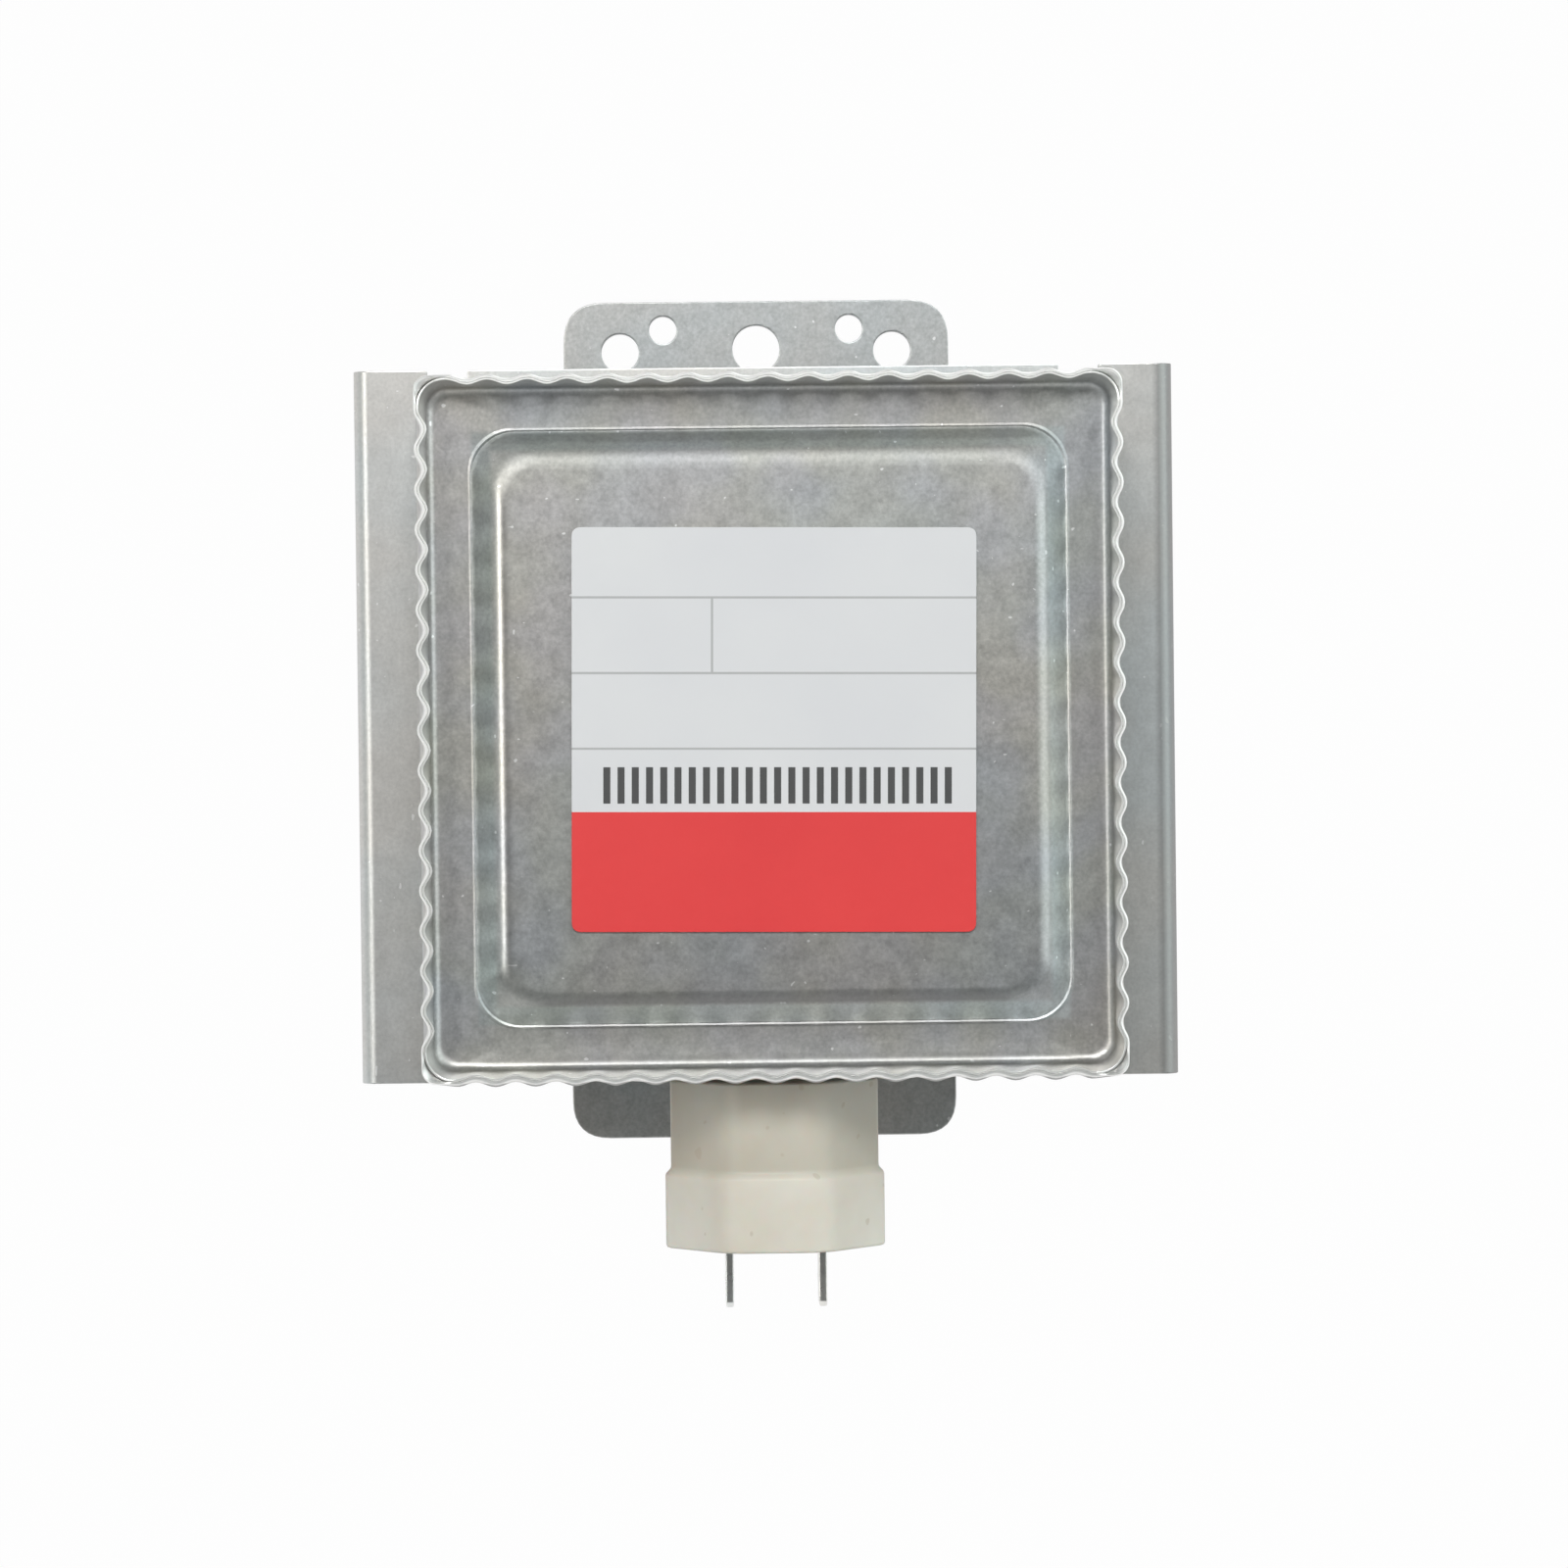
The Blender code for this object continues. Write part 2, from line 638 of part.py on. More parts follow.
def straps():
    half = STRAP_WIDTH / 2
    top = VANE_HEIGHT / 2
    floor = top - STRAP_HEIGHT
    for ring, radius in (("inner", INNER_STRAP), ("outer", OUTER_STRAP)):
        bm = bmesh.new()
        section = box_outline(radius - half, radius + half, floor, top)
        add_turned(bm, section, 2 * VANES)
        mesh = mesh_of(f"{ring}_strap", bm, COPPER)
        place = (0, ANODE_MIDDLE, 0)
        place_mesh(f"strap_antenna_side_{ring}", mesh, place)
        place_mesh(f"strap_stem_side_{ring}", mesh, place, (math.pi, 0, 0))


def pole_pieces():
    back = POLE_SHEET
    profile = [(POLE_RIM, 0), (POLE_DISH_START, 0), (POLE_HOLE, -POLE_DISH_DEPTH)]
    profile += [(radius, along - back) for radius, along in reversed(profile)]
    bm = bmesh.new()
    add_turned(bm, profile, INNER_STEPS)
    mesh = mesh_of("pole_piece", bm, IRON)
    front = place_mesh("pole_piece_antenna_side", mesh, (0, ANODE_FRONT, 0))
    place_mesh("pole_piece_stem_side", mesh, (0, ANODE_BACK, 0), (math.pi, 0, 0))
    hole = bmesh.new()
    low = ANODE_FRONT - POLE_DISH_DEPTH - back - PAST
    spot = (ROD_HOLE_OFFSET, 0)
    add_cylinder(hole, ROD_HOLE, low, ANODE_FRONT + PAST, SMALL_STEPS, spot)
    cut(front, hole)


def seal(name, flange_outer, flange_inner, neck_end):
    """A flat flange clamped on the anode and the neck that leaves its bore."""
    bore = SEAL_NECK - SEAL_NECK_WALL
    profile = [(bore, flange_inner), (SEAL_FLANGE, flange_inner), (SEAL_FLANGE, flange_outer)]
    profile += [(SEAL_NECK, flange_outer), (SEAL_NECK, neck_end), (bore, neck_end)]
    bm = bmesh.new()
    add_turned(bm, profile, INNER_STEPS)
    piece(name, bm, ZINC)


def seals():
    outer = SEAL_A_FRONT
    seal("seal_antenna_side", outer, outer - SEAL_SHEET, ANTENNA_NECK_REACH)
    outer = SEAL_B_BACK
    seal("seal_stem_side", outer, outer + SEAL_SHEET, BOX_INSIDE - STEM_NECK_REACH)


def antenna():
    """The ceramic on the seal's neck, the exhaust tube on the ceramic and the cap over the tube."""
    base = ANTENNA_NECK_REACH + SEAT
    end = base + ANTENNA_CERAMIC_LENGTH
    bm = bmesh.new()
    section = box_outline(ANTENNA_CERAMIC_BORE, ANTENNA_CERAMIC_RADIUS, base, end)
    add_turned(bm, section, TURN_STEPS)
    piece("antenna_ceramic", bm, CERAMIC)

    foot = end + SEAT
    flange = foot + EXHAUST_SHEET
    shoulder = foot + EXHAUST_COLLAR_HEIGHT
    tip = foot + EXHAUST_TUBE_REACH
    bore = ROD_RADIUS + SEAT
    inside = EXHAUST_COLLAR - EXHAUST_SHEET
    profile = [(inside, foot), (EXHAUST_FLANGE, foot), (EXHAUST_FLANGE, flange)]
    profile += [(EXHAUST_COLLAR, flange), (EXHAUST_COLLAR, shoulder), (EXHAUST_TUBE, shoulder)]
    profile += [(EXHAUST_TUBE, tip), (bore, tip), (bore, shoulder - EXHAUST_SHEET)]
    profile += [(inside, shoulder - EXHAUST_SHEET)]
    bm = bmesh.new()
    add_turned(bm, profile, INNER_STEPS)
    piece("exhaust_tube", bm, COPPER)

    low = flange + SEAT
    top = low + ANTENNA_CAP_HEIGHT
    bore = EXHAUST_COLLAR + SEAT
    radius = bore + ANTENNA_CAP_WALL
    round_at = (radius - ANTENNA_CAP_ROUND, top - ANTENNA_CAP_ROUND)
    inner_round = (ANTENNA_CAP_ROUND - ANTENNA_CAP_WALL, ANTENNA_CAP_ROUND - ANTENNA_CAP_WALL)
    profile = [(bore, low), (radius, low)]
    profile += arc(round_at, (ANTENNA_CAP_ROUND, ANTENNA_CAP_ROUND), 0, 1, CORNER_STEPS // 2)
    profile += [(0, top), (0, top - ANTENNA_CAP_WALL)]
    profile += arc(round_at, inner_round, 1, 0, CORNER_STEPS // 2)
    bm = bmesh.new()
    add_turned(bm, profile, TURN_STEPS)
    piece("antenna_cap", bm, ZINC)

    start = ANODE_MIDDLE + VANE_HEIGHT / 2 + SEAT
    clear = OUTER_STRAP + STRAP_WIDTH / 2 + SEAT + ROD_RADIUS
    inside = SEAL_NECK - SEAL_NECK_WALL - SEAT - ROD_RADIUS
    points = [(clear, start, 0), (clear, start + ROD_RADIUS, 0)]
    points += [(ROD_HOLE_OFFSET, ANODE_FRONT - POLE_DISH_DEPTH, 0), (inside - SEAT, SEAL_A_FRONT, 0)]
    points += [(inside / 2, PLATE_BACK - MAGNET_THICKNESS / 2, 0), (0, 0, 0), (0, tip, 0)]
    wire("antenna_rod", points, ROD_RADIUS, COPPER, 2)


def gasket():
    """The mesh ring round the antenna's foot, and the flanged sleeve that holds it."""
    foot = SEAT
    sleeve = HOLDER_BORE + HOLDER_SHEET
    top = foot + HOLDER_HEIGHT
    profile = [(HOLDER_BORE, foot), (HOLDER_FOOT, foot), (HOLDER_FOOT, foot + HOLDER_SHEET)]
    profile += [(sleeve, foot + HOLDER_SHEET), (sleeve, top), (HOLDER_BORE, top)]
    bm = bmesh.new()
    add_turned(bm, profile, TURN_STEPS)
    piece("gasket_holder", bm, ZINC)

    bore = sleeve + SEAT
    low = foot + HOLDER_SHEET + SEAT
    high = low + GASKET_HEIGHT
    edge = GASKET_EDGE
    profile = [(bore + edge, low), (GASKET_RADIUS - edge, low), (GASKET_RADIUS, low + edge)]
    profile += [(GASKET_RADIUS, high - edge), (GASKET_RADIUS - edge, high), (bore + edge, high)]
    profile += [(bore, high - edge), (bore, low + edge)]
    bm = bmesh.new()
    add_turned(bm, profile, TURN_STEPS)
    piece("rf_gasket", bm, MESH)


def filament():
    reach = FILAMENT_LENGTH / 2 - FILAMENT_WIRE
    steps = FILAMENT_TURNS * SMALL_STEPS // 2
    points = []
    for step in range(steps + 1):
        angle = math.tau * FILAMENT_TURNS * step / steps
        across = FILAMENT_RADIUS * math.cos(angle)
        up = FILAMENT_RADIUS * math.sin(angle)
        points.append((across, ANODE_MIDDLE + reach * (2 * step / steps - 1), up))
    wire("filament", points, FILAMENT_WIRE, TUNGSTEN, 0)


def cathode():
    """The end hats on both ends of the filament and the two leads that carry them."""
    half = VANE_HEIGHT / 2
    bore = LEAD_RADIUS + SEAT
    bm = bmesh.new()
    front = ANODE_MIDDLE + half
    add_cylinder(bm, HAT_RADIUS, front, front + HAT_THICKNESS, SMALL_STEPS)
    piece("end_hat_antenna_side", bm, TUNGSTEN)
    bm = bmesh.new()
    back = ANODE_MIDDLE - half - HAT_THICKNESS
    add_turned(bm, box_outline(bore, HAT_RADIUS, back, ANODE_MIDDLE - half), SMALL_STEPS)
    piece("end_hat_stem_side", bm, TUNGSTEN)

    end = TERMINAL_FACE - LEAD_END
    centre = [(0, front - SEAT, 0), (0, SEAL_B_BACK, 0)]
    centre += [(-LEAD_OFFSET, MAGNET_B_BACK, 0), (-LEAD_OFFSET, end, 0)]
    wire("centre_lead", centre, LEAD_RADIUS, TUNGSTEN, 1)
    side = [(LEAD_OFFSET, back - SEAT, 0), (LEAD_OFFSET, end, 0)]
    wire("side_lead", side, LEAD_RADIUS, TUNGSTEN, 1)


def stem():
    """The ceramic that closes the stem-side neck, and a terminal washer round each lead."""
    foot = STEM_END + STEM_LENGTH
    step = foot - STEM_FOOT_HEIGHT
    profile = [(0, STEM_END), (STEM_RADIUS, STEM_END), (STEM_RADIUS, step)]
    profile += [(STEM_FOOT, step), (STEM_FOOT, foot), (0, foot)]
    bm = bmesh.new()
    add_turned(bm, profile, INNER_STEPS)
    ceramic = piece("stem_ceramic", bm, CERAMIC)
    bores = bmesh.new()
    bore = LEAD_RADIUS + SEAT
    for name, across in (("left", -LEAD_OFFSET), ("right", LEAD_OFFSET)):
        add_cylinder(bores, bore, STEM_END - PAST, foot + PAST, SMALL_STEPS, (across, 0))
        bm = bmesh.new()
        section = box_outline(bore, STEM_TERMINAL_RADIUS, TERMINAL_FACE, STEM_END - SEAT)
        add_turned(bm, section, SMALL_STEPS)
        piece(f"stem_terminal_{name}", bm, IRON, (across, 0, 0))
    cut(ceramic, bores)


def cooling_fins():
    """Six pressed sheets on the anode, spread beyond the magnets to fill the yoke's depth."""
    bore = ANODE_RADIUS + SEAT
    collar = FIN_PITCH - FIN_SHEET - SEAT
    lip = WALL_INSIDE - SEAT - FIN_SHEET / 2
    step_end = FIN_STEP_START + FIN_STEP_RUN
    side_middle = (PLATE_BACK + YOKE_INSIDE) / 2
    for index in range(FINS):
        hub = ANODE_FRONT - FIN_INSET - FIN_PITCH * index
        side = side_middle + FIN_SIDE_PITCH * ((FINS - 1) / 2 - index) - hub
        path = [(lip, side + FIN_LIP), (lip, side), (step_end, side), (FIN_STEP_START, 0)]
        path += [(-across, along) for across, along in reversed(path)]
        half = FIN_HEIGHT / 2
        bm = bmesh.new()
        add_prism(bm, strip_outline(path, FIN_SHEET), -half, half, "Z")
        fin = piece(f"cooling_fin_{index + 1}", bm, ALUMINIUM, (0, hub, 0))
        low = hub - FIN_SHEET / 2 - collar
        disc = bmesh.new()
        add_cylinder(disc, bore + FIN_COLLAR_WALL, low, hub, INNER_STEPS)
        join(fin, disc)
        hole = bmesh.new()
        add_cylinder(hole, bore, low - PAST, hub + PAST, INNER_STEPS)
        cut(fin, hole)


def bend_rings(half, radius, bend, start, end):
    """Outlines and places round the bend from a square's sides to its flat end."""
    rings = []
    steps = CORNER_STEPS // 2
    for inset, reach in arc((0, 0), (bend, bend), 0, 1, steps):
        outline = square(half - bend + inset, radius)
        rings.append((outline, start + (end - start) * reach / bend))
    return rings


def sheet_between(bm, outer, inner):
    """A closed sheet from two rows of outlines that start at the same edge."""
    edges = []
    for rows in (outer, inner):
        rings = [ring_of(bm, outline, along) for outline, along in rows]
        for ring, following in zip(rings, rings[1:]):
            skin(bm, ring, following)
        bm.faces.new(rings[-1])
        edges.append(rings[0])
    skin(bm, *edges)


def filter_box():
    """A drawn can, open toward -Y, its mouth pressed in waves with the lid's skirt."""
    fade = BOX_MOUTH + WAVE_FADE
    outer = [(crimped_square(BOX_HALF, BOX_CORNER, WAVE_DEPTH), BOX_MOUTH)]
    outer += [(divided_square(BOX_HALF, BOX_CORNER), fade)]
    outer += bend_rings(BOX_HALF, BOX_CORNER, BOX_BEND, BOX_BACK - BOX_BEND, BOX_BACK)
    half = BOX_HALF - BOX_SHEET
    corner = BOX_CORNER - BOX_SHEET
    bend = BOX_BEND - BOX_SHEET
    inner = [(crimped_square(half, corner, WAVE_DEPTH), BOX_MOUTH)]
    inner += [(divided_square(half, corner), fade)]
    inner += bend_rings(half, corner, bend, BOX_BACK - BOX_BEND, BOX_INSIDE)
    bm = bmesh.new()
    sheet_between(bm, outer, inner)
    box = piece("filter_box", bm, ZINC)

    cuts = bmesh.new()
    back = BOX_INSIDE - PAST
    front = BOX_BACK + PAST
    add_cylinder(cuts, BOX_HOLE, back, front, TURN_STEPS)
    for across in (-BOX_RIVET_OFFSET, BOX_RIVET_OFFSET):
        add_cylinder(cuts, RIVET_HOLE, back, front, SMALL_STEPS, (across, 0))
    add_feedthrough_holes(cuts, -BOX_HALF - PAST, -half + PAST)
    cut(box, cuts)


def filter_box_lid():
    """A pressed lid: a crimped skirt, a flat band at its foot and a raised panel in the middle."""
    half = LID_HALF - LID_SHEET
    corner = LID_CORNER - LID_SHEET
    bend = LID_BAND - LID_BEND
    foot = half - LID_BEND
    run = RELIEF_EASE_RUN
    rise = RELIEF_EASE_RISE
    tighter = (RELIEF_CORNER - PANEL_CORNER) * run / (RELIEF_HALF - PANEL_HALF)
    relief = [(square(RELIEF_HALF, RELIEF_CORNER), LID_BAND)]
    relief += [(square(RELIEF_HALF - run, RELIEF_CORNER - tighter), LID_BAND - rise)]
    relief += [(square(PANEL_HALF + run, PANEL_CORNER + tighter), PANEL_FACE + rise)]
    relief += [(square(PANEL_HALF, PANEL_CORNER), PANEL_FACE)]
    front = [(crimped_square(half, corner, WAVE_DEPTH), BOX_MOUTH)]
    front += [(crimped_square(half, corner, BEND_WAVE_DEPTH), bend)]
    front += [(divided_square(foot, LID_CORNER), LID_BAND)] + relief
    back = [(crimped_square(LID_HALF, LID_CORNER, WAVE_DEPTH), BOX_MOUTH)]
    back += [(crimped_square(LID_HALF, LID_CORNER, BEND_WAVE_DEPTH), bend)]
    back += [(divided_square(foot, LID_CORNER), LID_BAND + LID_SHEET)]
    back += [(outline, along + LID_SHEET) for outline, along in relief]
    bm = bmesh.new()
    sheet_between(bm, back, front)
    piece("filter_box_lid", bm, ZINC)


def rating_label():
    """A bare label stuck on the raised panel, its lower part a field of red."""
    bm = bmesh.new()
    half = LABEL_SIDE / 2
    low = PANEL_FACE - SEAT - LABEL_SHEET
    add_prism(bm, square(half, LABEL_CORNER), low, PANEL_FACE - SEAT)
    border = LABEL_FIELD - half
    everything = bm.verts[:] + bm.edges[:] + bm.faces[:]
    bmesh.ops.bisect_plane(bm, geom=everything, plane_co=(0, 0, border), plane_no=(0, 0, 1))
    for face in bm.faces:
        if face.calc_center_median().z < border:
            face.material_index = 1
    label = piece("rating_label", bm, PAPER, (0, 0, -LABEL_DROP))
    label.data.materials.append(RED)


def housing_section(width, depth, spare=0):
    """An oval with a flat on each side, in the middle of the box's depth."""
    corner = ((width - HOUSING_FLAT) / 2, (depth - HOUSING_SIDE_FLAT) / 2)
    outline = rounded_rectangle(width + 2 * spare, depth + 2 * spare, corner)
    return [(across, CONNECTOR_Y + along) for across, along in outline]


def add_feedthrough_holes(bm, low, high):
    add_prism(bm, housing_section(HOUSING_NECK_WIDTH, HOUSING_NECK_DEPTH, SEAT), low, high, "Z")
    for across in (-GROUND_RIVET_OFFSET, GROUND_RIVET_OFFSET):
        add_cylinder(bm, RIVET_HOLE, low, high, SMALL_STEPS, (across, CONNECTOR_Y), "Z")


def blade_slots(low, high):
    """Cutters for the slots that the two blades pass through."""
    bm = bmesh.new()
    across = BLADE_THICKNESS / 2 + SEAT
    along = BLADE_WIDTH / 2 + SEAT
    for middle in (-BLADE_OFFSET, BLADE_OFFSET):
        sides = (middle - across, middle + across)
        slot = box_outline(*sides, CONNECTOR_Y - along, CONNECTOR_Y + along)
        add_prism(bm, slot, low - PAST, high + PAST, "Z")
    return bm


def connector():
    """The moulded housing under the box, and the ground plate and capacitor that it clamps."""
    stem = housing_section(HOUSING_STEM_WIDTH, HOUSING_STEM_DEPTH)
    cap = housing_section(HOUSING_CAP_WIDTH, HOUSING_CAP_DEPTH)
    neck = housing_section(HOUSING_NECK_WIDTH, HOUSING_NECK_DEPTH)
    end = housing_section(HOUSING_CAP_WIDTH - 2 * HOUSING_EDGE, HOUSING_CAP_DEPTH - 2 * HOUSING_EDGE)
    stem_low = HOUSING_TOP - HOUSING_STEM_LENGTH
    cap_top = stem_low - HOUSING_STEP
    sections = [(end, HOUSING_END), (cap, HOUSING_END + HOUSING_EDGE), (cap, cap_top)]
    sections += [(stem, stem_low), (stem, HOUSING_TOP), (neck, HOUSING_TOP), (neck, GROUND_TOP)]
    bm = bmesh.new()
    add_loft(bm, sections, "Z")
    housing = piece("connector_housing", bm, CREAM)
    cut(housing, blade_slots(HOUSING_END, GROUND_TOP))

    bm = bmesh.new()
    corner = (GROUND_CORNER, GROUND_CORNER)
    outline = rounded_rectangle(GROUND_WIDTH, GROUND_DEPTH, corner)
    outline = [(across, CONNECTOR_Y + along) for across, along in outline]
    add_prism(bm, outline, GROUND_TOP - GROUND_SHEET, GROUND_TOP, "Z")
    plate = piece("capacitor_ground_plate", bm, ZINC)
    holes = bmesh.new()
    add_feedthrough_holes(holes, GROUND_TOP - GROUND_SHEET - PAST, GROUND_TOP + PAST)
    cut(plate, holes)

    bm = bmesh.new()
    low = GROUND_TOP + SEAT
    add_prism(bm, housing_section(CAPACITOR_WIDTH, CAPACITOR_DEPTH), low, CAPACITOR_TOP, "Z")
    capacitor = piece("capacitor_ceramic", bm, CERAMIC)
    cut(capacitor, blade_slots(low, CAPACITOR_TOP))


def terminal_blades():
    half = BLADE_WIDTH / 2
    low = HOUSING_END - BLADE_REACH
    high = CAPACITOR_TOP + BLADE_INNER_REACH
    tip = half - BLADE_TAPER
    outline = [(-tip, low), (tip, low), (half, low + BLADE_TAPER), (half, high)]
    outline += [(-half, high), (-half, low + BLADE_TAPER)]
    thick = BLADE_THICKNESS / 2
    hole_at = (CONNECTOR_Y, HOUSING_END - BLADE_REACH / 2)
    for name, across in (("left", -BLADE_OFFSET), ("right", BLADE_OFFSET)):
        bm = bmesh.new()
        spots = [(CONNECTOR_Y + along, up) for along, up in outline]
        add_prism(bm, spots, across - thick, across + thick, "X")
        blade = piece(f"terminal_blade_{name}", bm, ZINC)
        hole = bmesh.new()
        sides = (across - thick - PAST, across + thick + PAST)
        add_cylinder(hole, BLADE_HOLE, *sides, SMALL_STEPS // 2, hole_at, "X")
        cut(blade, hole)


def bezier(start, control, end, steps):
    """Points of a quadratic curve, both ends included."""
    points = []
    for step in range(steps + 1):
        share = step / steps
        weights = ((1 - share) ** 2, 2 * share * (1 - share), share**2)
        corners = zip(start, control, end)
        points.append(tuple(sum(w * c for w, c in zip(weights, three)) for three in corners))
    return points


def chokes():
    """Each coil runs from its stem terminal round its core to its blade."""
    near = COIL_OFFSET - COIL_RADIUS
    start = (LEAD_OFFSET + LEAD_RADIUS + SEAT, TERMINAL_FACE - SEAT - COIL_WIRE, 0)
    control = (near, start[1], 0)
    bottom = COIL_TOP - COIL_LENGTH
    beside = BLADE_OFFSET + BLADE_THICKNESS / 2 + SEAT + COIL_WIRE
    blade_top = CAPACITOR_TOP + BLADE_INNER_REACH
    points = bezier(start, control, (near, CONNECTOR_Y, COIL_TOP), CORNER_STEPS)
    steps = COIL_TURNS * SMALL_STEPS // 2
    for step in range(1, steps + 1):
        angle = math.tau * COIL_TURNS * step / steps
        across = COIL_OFFSET - COIL_RADIUS * math.cos(angle)
        along = CONNECTOR_Y + COIL_RADIUS * math.sin(angle)
        points.append((across, along, COIL_TOP - COIL_LENGTH * step / steps))
    landing = (beside, CONNECTOR_Y, blade_top)
    turn = (near, CONNECTOR_Y, (bottom + blade_top) / 2)
    points += bezier((near, CONNECTOR_Y, bottom), turn, landing, CORNER_STEPS)[1:]
    points.append((beside, CONNECTOR_Y, CAPACITOR_TOP + SEAT))
    bore = COIL_RADIUS - COIL_WIRE
    reach = COIL_LENGTH / 2 + CORE_OVERHANG
    bm = bmesh.new()
    add_cylinder(bm, bore - CORE_CLEARANCE, -reach, reach, SMALL_STEPS, (0, 0), "Z")
    core = mesh_of("choke_core", bm, FERRITE)
    for name, side in (("left", -1), ("right", 1)):
        route = [(side * across, along, up) for across, along, up in points]
        wire(f"choke_coil_{name}", route, COIL_WIRE, COPPER, 1)
        middle = (side * COIL_OFFSET, CONNECTOR_Y, COIL_TOP - COIL_LENGTH / 2)
        place_mesh(f"choke_core_{name}", core, middle)


def rivet(name, low, high, centre, axis):
    """A rivet through sheets whose outer faces lie at low and high along the axis."""
    below = low - SEAT
    above = high + SEAT
    rim = RIVET_HEAD_HEIGHT - RIVET_EDGE
    crown = RIVET_HEAD - RIVET_EDGE
    profile = [(0, below - RIVET_HEAD_HEIGHT), (crown, below - RIVET_HEAD_HEIGHT)]
    profile += [(RIVET_HEAD, below - rim), (RIVET_HEAD, below), (RIVET_SHANK, below)]
    profile += [(RIVET_SHANK, above), (RIVET_HEAD, above), (RIVET_HEAD, above + rim)]
    profile += [(crown, above + RIVET_HEAD_HEIGHT), (0, above + RIVET_HEAD_HEIGHT)]
    bm = bmesh.new()
    add_turned(bm, profile, SMALL_STEPS // 2, centre, axis)
    piece(name, bm, ZINC)


def rivets():
    for name, side in (("left", -1), ("right", 1)):
        spot = (side * BOX_RIVET_OFFSET, 0)
        rivet(f"box_rivet_{name}", BOX_INSIDE, YOKE_INSIDE, spot, "Y")
        spot = (side * GROUND_RIVET_OFFSET, CONNECTOR_Y)
        rivet(f"ground_rivet_{name}", -BOX_HALF, GROUND_TOP, spot, "Z")


def main():
    mounting_plate()
    yoke_frame()
    magnets()
    anode_cylinder()
    vanes()
    straps()
    pole_pieces()
    seals()
    antenna()
    gasket()
    filament()
    cathode()
    stem()
    cooling_fins()
    filter_box()
    filter_box_lid()
    rating_label()
    connector()
    terminal_blades()
    chokes()
    rivets()


main()
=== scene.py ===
"""The looks of a magnetron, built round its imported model."""

import json
import math

import bmesh
import bpy
from mathutils import Matrix, Vector

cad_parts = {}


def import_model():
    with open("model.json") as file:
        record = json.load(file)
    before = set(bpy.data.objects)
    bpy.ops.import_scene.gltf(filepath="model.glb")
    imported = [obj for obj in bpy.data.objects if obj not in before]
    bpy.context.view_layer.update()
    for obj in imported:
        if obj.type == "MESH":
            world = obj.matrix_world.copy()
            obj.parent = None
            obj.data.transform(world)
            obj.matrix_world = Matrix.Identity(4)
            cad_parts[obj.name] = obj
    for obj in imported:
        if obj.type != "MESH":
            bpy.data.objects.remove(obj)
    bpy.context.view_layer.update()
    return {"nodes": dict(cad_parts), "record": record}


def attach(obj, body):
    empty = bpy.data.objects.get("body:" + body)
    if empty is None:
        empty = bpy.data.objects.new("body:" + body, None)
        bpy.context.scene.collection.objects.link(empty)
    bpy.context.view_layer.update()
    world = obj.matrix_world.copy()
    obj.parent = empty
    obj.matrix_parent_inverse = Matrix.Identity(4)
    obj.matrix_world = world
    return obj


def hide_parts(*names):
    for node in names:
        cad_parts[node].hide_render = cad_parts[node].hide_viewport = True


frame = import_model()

MM = 0.001
NODES = frame["nodes"]
SIDES = (("left", -1), ("right", 1))

# All sizes below are in millimetres
# Plate and yoke: their outline, their sheet and the tongues that join them
HALF_WIDTH = 48.3
HALF_HEIGHT = 42.0
SHEET = 1.6
TAB_HALF = 24.4
TAB_REACH = 53.1
TAB_HOLES = ((1.75, 11.8, 49.5, 36), (2.375, 17.25, 46.7, 40))
CENTRE_HOLE = (3.0, (0, 47.0), 48)
TUBE_HOLE = 12.0
TONGUE = (17, 27)
TONGUE_GAP = 0.3
TONGUE_REACH = 1.7
YOKE_FRONT = -53.6
YOKE_END = -1.9
YOKE_NOTCH = (34.8, 39.6, 38.8)

# Filter box and lid: places along Y of the mouth, the flat band, the raised panel and the box's back
MOUTH = -88.0
BAND = -84.0
PANEL = -86.35
BOX_HALF = 40.4
BOX_BACK = (-56.0, -54.0)
BOX_FLOOR = (-41.5, -38.8)
BOX_RIVET = 31.0
GROUND_RIVET = 15.0
RIVET_HOLE = 1.9

# Connector: its middle along Y, the size of its cap and the blades
CONNECTOR_Y = -71.5
CAP_WIDTH = 25.2
CAP_DEPTH = 19.0
STEM_WIDTH = 23.9
STEM_DEPTH = 17.8
BLADE_OFFSET = 5.35
BLADE_HALF = 3.175
BLADE_TOP = -29.5
BLADE_TIP = -66.8

# Tube: the anode's middle along Y, magnets and fins
ANODE_MIDDLE = -27.2
MAGNET_PLACES = (-8.15, -46.25)
FINS = 6
FIN_START = -16.2
FIN_PITCH = 3.9
FIN_SIDE_PITCH = 8.2
FIN_HALF_HEIGHT = 40
FIN_SHEET = 0.6

# Rim of the box and lid: pitch and depth of the waves, and how far they reach from the middle of a side
PITCH = 4.5
DEPTH = 0.7
REACH = 36.0
SIDE_STEPS = 160
CORNER_STEPS = 14

# Shares of the rim's waves and of the relief's ripple on the right, top, left and bottom side
WAVE_SHARES = (1.1, 0.8, 1.35, 0.8)
BEAD_SHARES = (0.12, 0.1, 0.1, 0.42)
RIPPLE_SHARES = (1.0, 0.3, 0.8, 0.4)
DISH_SHARES = (-0.4, 1.0, 0.0, 1.0)

# The label sits a little askew on the lid; its rules, bars and red field are generic
LABEL_TURN = math.radians(0.67)
LABEL_SHIFT = 0.25
LABEL_HALF = 22.75
LABEL_PLACE = (LABEL_SHIFT, -86.575, -0.4)
RULES = (14.35, 5.85, -2.65)
RULE = 0.25
DIVIDER = -7.1
BARS = (-8.7, -4.6)
BARS_HALF = 20.0
BAR_PITCH = 1.6
RED_TOP = -9.65

